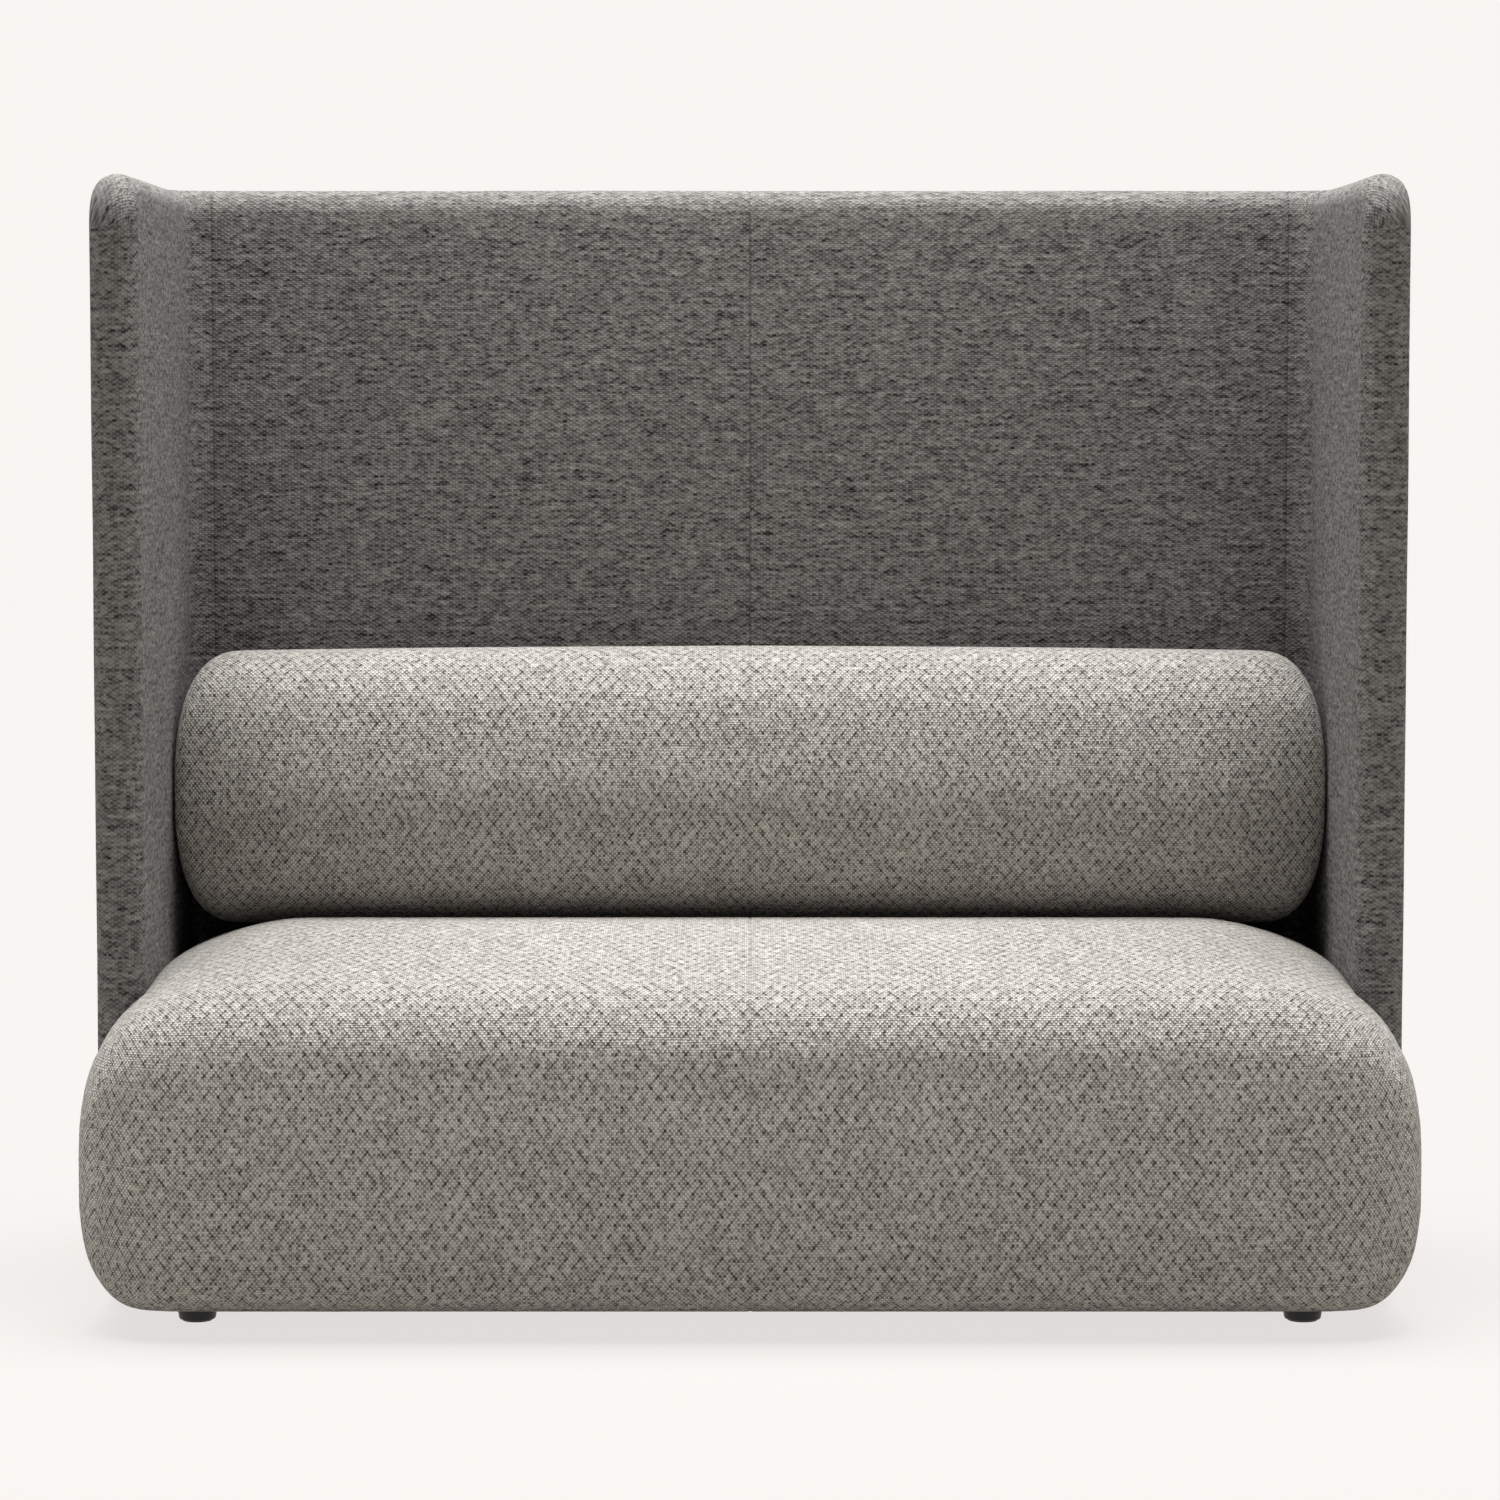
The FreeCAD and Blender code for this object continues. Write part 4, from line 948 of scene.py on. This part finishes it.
class GrowTree(NodeTree):
    """A geometry tree with named inputs, ending in real geometry with a finish."""

    def __init__(self, name, inputs):
        super().__init__(bpy.data.node_groups.new(name, "GeometryNodeTree"))
        face = self.tree.interface
        face.new_socket(name="Geometry", in_out="INPUT", socket_type="NodeSocketGeometry")
        self.names = {}
        for label, kind in inputs.items():
            self.names[label] = face.new_socket(name=label, in_out="INPUT", socket_type=kind)
        face.new_socket(name="Geometry", in_out="OUTPUT", socket_type="NodeSocketGeometry")
        self.start = self.tree.nodes.new("NodeGroupInput").outputs
        self.end = self.tree.nodes.new("NodeGroupOutput").inputs

    def close(self, geometry):
        real = self.node("GeometryNodeRealizeInstances", {"Geometry": geometry})["Geometry"]
        done = self.node("GeometryNodeSetMaterial", {"Geometry": real, "Material": self.start["Finish"]})
        self.feed(self.end["Geometry"], done["Geometry"])

    def grow(self, name, base, values):
        """A plain mesh piece from the tree on a base mesh with these sizes."""
        holder = put_in_scene(name + "_base", base)
        modifier = holder.modifiers.new("grow", "NODES")
        modifier.node_group = self.tree
        for label, value in values.items():
            modifier[self.names[label].identifier] = value
        ready = holder.evaluated_get(bpy.context.evaluated_depsgraph_get())
        made = bpy.data.meshes.new_from_object(ready)
        made.name = name
        bpy.data.objects.remove(holder)
        return put_in_scene(name, made)


def sunk_row_tree():
    """Short wires or stitches along a path, whose ends dive in against the path's outward direction."""
    number = "NodeSocketFloat"
    tree = GrowTree("sunk_row", {
        "Spacing": number, "Length": number, "Thick": number, "Dive": number, "Skew": number,
        "Seed": "NodeSocketInt", "Finish": "NodeSocketMaterial",
    })
    start = tree.start
    line = tree.node("GeometryNodeMeshToCurve", {"Mesh": start["Geometry"]})["Curve"]
    spots = tree.node("GeometryNodeResampleCurve", {
        "Curve": line, "Length": start["Spacing"],
    }, mode="LENGTH")["Curve"]
    thick = start["Thick"]
    size = tree.node("ShaderNodeCombineXYZ", {"X": start["Length"], "Y": thick, "Z": thick})[0]
    bar = tree.node("GeometryNodeMeshCube", {
        "Size": size, "Vertices X": 8, "Vertices Y": 2, "Vertices Z": 2,
    })["Mesh"]
    place = tree.node("ShaderNodeSeparateXYZ", {0: tree.node("GeometryNodeInputPosition")[0]})
    reach = tree.math("MULTIPLY", start["Length"], 0.5)
    share = tree.math("DIVIDE", tree.math("ABSOLUTE", place["X"]), reach)
    sink = tree.math("MULTIPLY", tree.math("POWER", share, 4.0), tree.math("MULTIPLY", start["Dive"], -1.0))
    offset = tree.node("ShaderNodeCombineXYZ", {"X": 0.0, "Y": 0.0, "Z": sink})[0]
    bent = tree.node("GeometryNodeSetPosition", {"Geometry": bar, "Offset": offset})["Geometry"]
    rough = tree.node("FunctionNodeRandomValue", {
        "Min": (-1, -1, -1), "Max": (1, 1, 1), "Seed": start["Seed"],
    }, data_type="FLOAT_VECTOR")
    wander = tree.node("ShaderNodeVectorMath", {0: rough[0], "Scale": start["Skew"]}, operation="SCALE")[0]
    ahead = tree.node("GeometryNodeInputTangent")[0]
    heading = tree.node("ShaderNodeVectorMath", {0: ahead, 1: wander}, operation="ADD")[0]
    outward = tree.node("GeometryNodeInputNamedAttribute", {"Name": "out"}, data_type="FLOAT_VECTOR")[0]
    first = tree.node("FunctionNodeAlignRotationToVector", {"Vector": heading}, axis="X")[0]
    turned = tree.node("FunctionNodeAlignRotationToVector", {
        "Rotation": first, "Vector": outward,
    }, axis="Z", pivot_axis="X")[0]
    row = tree.node("GeometryNodeInstanceOnPoints", {
        "Points": spots, "Instance": bent, "Rotation": turned,
    })["Instances"]
    tree.close(row)
    return tree


def path_mesh(name, places, outwards, closed):
    """A line of points that carries an outward direction at each."""
    count = len(places)
    edges = [(k, k + 1) for k in range(count - 1)]
    if closed:
        edges.append((count - 1, 0))
    mesh = bpy.data.meshes.new(name)
    mesh.from_pydata([tuple(p) for p in places], edges, [])
    layer = mesh.attributes.new("out", "FLOAT_VECTOR", "POINT")
    layer.data.foreach_set("vector", np.ascontiguousarray(outwards, dtype=np.float32).ravel())
    return mesh


def strap_tree():
    """A row of flat straps that ripple over and under the crossing ones."""
    number = "NodeSocketFloat"
    tree = GrowTree("strap_row", {
        "Count": "NodeSocketInt", "Pitch": "NodeSocketVector", "Start": "NodeSocketVector",
        "Size": "NodeSocketVector", "Cells X": "NodeSocketInt", "Cells Y": "NodeSocketInt",
        "Cross X": number, "Cross Y": number, "From X": number, "From Y": number, "Ripple": number,
        "Finish": "NodeSocketMaterial",
    })
    start = tree.start
    row = tree.node("GeometryNodeMeshLine", {
        "Count": start["Count"], "Start Location": start["Start"], "Offset": start["Pitch"],
    })["Mesh"]
    strap = tree.node("GeometryNodeMeshCube", {
        "Size": start["Size"], "Vertices X": start["Cells X"], "Vertices Y": start["Cells Y"],
        "Vertices Z": 2,
    })["Mesh"]
    many = tree.node("GeometryNodeInstanceOnPoints", {"Points": row, "Instance": strap})["Instances"]
    real = tree.node("GeometryNodeRealizeInstances", {"Geometry": many})["Geometry"]
    place = tree.node("ShaderNodeSeparateXYZ", {0: tree.node("GeometryNodeInputPosition")[0]})
    rise = start["Ripple"]
    for axis in ("X", "Y"):
        along = tree.math("SUBTRACT", place[axis], start["From " + axis])
        run = tree.math("DIVIDE", along, start["Cross " + axis])
        rise = tree.math("MULTIPLY", rise, tree.math("COSINE", tree.math("MULTIPLY", run, math.pi)))
    offset = tree.node("ShaderNodeCombineXYZ", {"X": 0.0, "Y": 0.0, "Z": rise})[0]
    tree.close(tree.node("GeometryNodeSetPosition", {"Geometry": real, "Offset": offset})["Geometry"])
    return tree


def make_webbing():
    """Both rows of seat webbing, woven through each other on top of the base."""
    tree = strap_tree()
    rows = {}
    low_long, high_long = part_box("seat_webbing_long")
    low_cross, high_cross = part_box("seat_webbing_cross")
    level = (low_long.z + high_cross.z) / 2
    pitch_y = (high_long.y - low_long.y - WEB_WIDTH) / (WEB_LONG_COUNT - 1)
    pitch_x = (high_cross.x - low_cross.x - WEB_WIDTH) / (WEB_CROSS_COUNT - 1)
    from_x = low_cross.x + WEB_WIDTH / 2
    from_y = low_long.y + WEB_WIDTH / 2
    shared = {"Cross X": pitch_x, "Cross Y": pitch_y, "From X": from_x, "From Y": from_y}
    rows["seat_webbing_long"] = tree.grow("seat_webbing_long_straps", bpy.data.meshes.new("long"), {
        **shared, "Count": WEB_LONG_COUNT, "Pitch": (0, pitch_y, 0), "Start": (0, from_y, level),
        "Size": (high_long.x - low_long.x, WEB_WIDTH, WEB_THICK),
        "Cells X": WEB_LONG_CELLS, "Cells Y": WEB_CELLS_ACROSS,
        "Ripple": WEB_RIPPLE, "Finish": strap_weave("webbing_long", 0),
    })
    middle_y = (low_cross.y + high_cross.y) / 2
    rows["seat_webbing_cross"] = tree.grow("seat_webbing_cross_straps", bpy.data.meshes.new("cross"), {
        **shared, "Count": WEB_CROSS_COUNT, "Pitch": (pitch_x, 0, 0), "Start": (from_x, middle_y, level),
        "Size": (WEB_WIDTH, high_cross.y - low_cross.y, WEB_THICK),
        "Cells X": WEB_CELLS_ACROSS, "Cells Y": WEB_CROSS_CELLS,
        "Ripple": -WEB_RIPPLE, "Finish": strap_weave("webbing_cross", 1),
    })
    for node, piece in rows.items():
        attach(piece, "sofa")
        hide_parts(node)


def make_dust_cover(rows, wire):
    """The black dust cloth, stapled under the base with wire of one finish."""
    low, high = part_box("dust_cover")
    piece = layer_mesh("dust_cover", LAYER_STEP / 2)
    lay_in(piece, "sofa", "dust_cover", bonded_cloth())
    corners = [(low.x, low.y), (high.x, low.y), (high.x, high.y), (low.x, high.y)]
    inset = [
        (x - math.copysign(STAPLE_EDGE, x), y - math.copysign(STAPLE_EDGE, y), low.z)
        for x, y in corners
    ]
    base = path_mesh("staple_line", inset, [(0, 0, -1)] * 4, True)
    staples = rows.grow("dust_cover_staples", base, {
        "Spacing": STAPLE_SPACING, "Length": STAPLE_LENGTH, "Thick": STAPLE_WIRE,
        "Dive": 2 * STAPLE_WIRE, "Skew": STAPLE_SKEW, "Seed": STAPLE_SEED, "Finish": wire,
    })
    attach(staples, "sofa")


def sew_row(rows, name, piece, seam_x, hub, body, thread):
    """Stitches round a cover along its seam at one X, in turn about a hub in Y and Z."""
    points = points_of(piece)
    chosen = np.abs(points[:, 0] - seam_x) < STITCH_REACH
    outwards = normals_of(piece)[chosen]
    points = points[chosen]
    turn = np.argsort(np.arctan2(points[:, 2] - hub[1], hub[0] - points[:, 1]))
    base = path_mesh("seam_line", points[turn] + STITCH_LIFT * outwards[turn], outwards[turn], False)
    made = rows.grow(name, base, {
        "Spacing": STITCH_SPACING, "Length": STITCH_LENGTH, "Thick": STITCH_THREAD,
        "Dive": 1.5 * STITCH_THREAD, "Skew": STITCH_SKEW, "Seed": STITCH_SEED, "Finish": thread,
    })
    smooth_faces(made)
    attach(made, body)


def set_camera():
    """The photograph's view."""
    data = bpy.data.cameras.new("view")
    data.sensor_width = CAMERA_SENSOR
    data.lens = CAMERA_LENS
    camera = put_in_scene("view", data)
    camera.location = CAMERA_PLACE
    camera.rotation_euler = (math.pi / 2 - CAMERA_TILT, 0, 0)
    bpy.context.scene.camera = camera


def set_stage():
    """Pale floor and background, two soft suns from above, a lamp over the seat and some fill."""
    key_fall = KEY_FROM[2] / math.sqrt(sum(part * part for part in KEY_FROM))
    floor_light = [
        2 * KEY_STRENGTH * key_fall / math.pi * key + AMBIENT_STRENGTH * fill
        for key, fill in zip(KEY_COLOUR, AMBIENT_COLOUR)
    ]
    floor_colour = [seen / light for seen, light in zip(BACKDROP_COLOUR, floor_light)]
    floor = new_piece("floor", [(-1, -1, 0), (1, -1, 0), (1, 1, 0), (-1, 1, 0)], [(0, 1, 2, 3)])
    floor.data.transform(floor.matrix_world.Diagonal((FLOOR_SIZE, FLOOR_SIZE, 1, 1)))
    finish = Finish("floor_paint")
    direct = finish.seen_directly()
    colour = finish.node("ShaderNodeMix", {
        "Factor": direct, 6: (*FLOOR_BOUNCE_COLOUR, 1), 7: (*floor_colour, 1),
    }, data_type="RGBA")[2]
    finish.feed(finish.shader.inputs["Base Color"], colour)
    finish.surface(1.0, 0.0)
    glow = finish.node("ShaderNodeEmission", {"Color": (*BACKDROP_COLOUR, 1)})[0]
    share = finish.math("MULTIPLY", direct, 1 - FLOOR_SHADOW_SHARE)
    blend = finish.node("ShaderNodeMixShader", {0: share, 1: finish.shader.outputs[0], 2: glow})[0]
    finish.feed(finish.tree.nodes["Material Output"].inputs["Surface"], blend)
    floor.data.materials.append(finish.material)

    world = bpy.data.worlds.new("studio")
    bpy.context.scene.world = world
    world.use_nodes = True
    sky = NodeTree(world.node_tree)
    ambient = sky.tree.nodes["Background"]
    sky.feed(ambient.inputs["Color"], (*AMBIENT_COLOUR, 1))
    sky.feed(ambient.inputs["Strength"], AMBIENT_STRENGTH)
    backdrop = sky.node("ShaderNodeBackground", {"Color": (*BACKDROP_COLOUR, 1)})[0]
    blend = sky.node("ShaderNodeMixShader", {0: sky.seen_directly(), 1: ambient.outputs[0], 2: backdrop})[0]
    sky.feed(sky.tree.nodes["World Output"].inputs["Surface"], blend)

    for side in (-1, 1):
        lamp = bpy.data.lights.new("key", "SUN")
        lamp.energy = KEY_STRENGTH
        lamp.angle = KEY_SPREAD
        lamp.color = KEY_COLOUR
        source = Vector((side * KEY_FROM[0], KEY_FROM[1], KEY_FROM[2]))
        put_in_scene("key", lamp).rotation_euler = source.to_track_quat("Z", "Y").to_euler()
    data = bpy.data.lights.new("over_seat", "AREA")
    data.shape = "RECTANGLE"
    data.size, data.size_y = LAMP_SIZE
    data.energy = LAMP_POWER
    data.color = KEY_COLOUR
    lamp = put_in_scene("over_seat", data)
    lamp.location = LAMP_PLACE
    lamp.visible_camera = False
    bpy.context.scene.view_settings.view_transform = "Standard"


set_camera()
set_stage()

finishes = {
    "seat_cloth": diamond_cloth(),
    "shell_cloth": slub_cloth(),
    "timber_x": grained_timber("timber_across", 0),
    "timber_y": grained_timber("timber_deep", 1),
    "board": grained("pressed_board", BOARD, 0.0003, (0.75, 0.25),
                     ((90.0, 90.0, 190.0), 4.0, 0.65, 1.1, 1.0), ((700.0,) * 3, 2.0, 0.5, 0.4, 0.0)),
    "zinc": grained("zinc_plate", ZINC, 0.00004, (0.36, 0.5, 0.0, 1.0),
                    ((160.0,) * 3, 3.0, 0.5, 0.25, 0.0), ((300.0, 300.0, 2600.0), 2.0, 0.5, 0.2, 1.0)),
    "foot": moulded_plastic("foot_plastic", FOOT_BLACK, 0.42),
    "glide": moulded_plastic("glide_plastic", GLIDE_GREY, 0.55),
    "foam": grained("cut_foam", FOAM, 0.0005, (0.95, 0.1, 0.05),
                    ((850.0,) * 3, 2.0, 0.7, 0.45, 1.0), ((14.0,) * 3, 3.0, 0.5, 0.2, 0.0)),
    "wadding": grained("fibre_wadding", WADDING, 0.001, (0.95, 0.1, 0.2),
                       ((160.0, 700.0, 420.0), 3.0, 0.65, 0.3, 1.0), ((32.0,) * 3, 3.0, 0.5, 0.25, 1.5)),
    "seat_thread": spun_thread("seat_thread", SEAT_THREAD),
    "shell_thread": spun_thread("shell_thread", SHELL_THREAD),
}

hard_finishes = {
    "timber_x": ("base_front_rail", "base_rear_rail", "base_corner_blocks", "shell_spacers", "shell_dowels"),
    "timber_y": ("base_left_rail", "base_right_rail", "base_centre_rail"),
    "board": ("back_panel", "left_wing_panel", "right_wing_panel", "left_corner_post", "right_corner_post"),
    "zinc": ("base_block_screws", "foot_tee_nuts", "shell_bolts", "shell_bolt_washers", "shell_tee_nuts"),
}
for finish, names in hard_finishes.items():
    for name in names:
        dress(nodes[name], finishes[finish])
for place in ("front_left", "front_right", "rear_left", "rear_right"):
    for prefix, finish in (("foot_", "foot"), ("foot_stud_", "zinc"), ("foot_glide_", "glide")):
        dress(nodes[prefix + place], finishes[finish])

shell = make_shell_cover()
lay_in(shell, "sofa", "shell_cover", finishes["shell_cloth"])

seat = make_seat_cover()
lay_in(seat, "sofa", "seat_cover", finishes["seat_cloth"])

bolster = make_bolster_cover()
lay_in(bolster, "bolster", "bolster_cover", finishes["seat_cloth"])

foam_layers = {
    "sofa": ("seat_front_foam", "seat_foam_core", "seat_foam_topper", "back_foam", "left_wing_foam",
             "right_wing_foam", "left_corner_foam", "right_corner_foam"),
    "bolster": ("bolster_core",),
}
for body, names in foam_layers.items():
    for name in names:
        layer = layer_mesh(name, LAYER_STEP)
        lay_in(layer, body, name, finishes["foam"])
for body, name in (("sofa", "seat_wadding"), ("bolster", "bolster_wadding")):
    layer = layer_mesh(name, LAYER_STEP)
    lay_in(layer, body, name, finishes["wadding"])

sunk_rows = sunk_row_tree()
make_webbing()
make_dust_cover(sunk_rows, finishes["zinc"])

for name, cover, hub, body in (
    ("seat_stitches", seat, SEAT_HUB, "sofa"),
    ("bolster_stitches", bolster, BOLSTER_HUB, "bolster"),
):
    sew_row(sunk_rows, name, cover, 0.0, hub, body, finishes["seat_thread"])
shell_low, shell_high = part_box("shell_cover")
shell_hub = (shell_high.y - WALL_HALF, (shell_low.z + shell_high.z) / 2)
corner_x = shell_high.x - WALL_HALF - WALL_BEND_R
for name, seam_x in (("middle", 0.0), ("left", -corner_x), ("right", corner_x)):
    sew_row(sunk_rows, "shell_stitches_" + name, shell, seam_x, shell_hub, "sofa",
            finishes["shell_thread"])
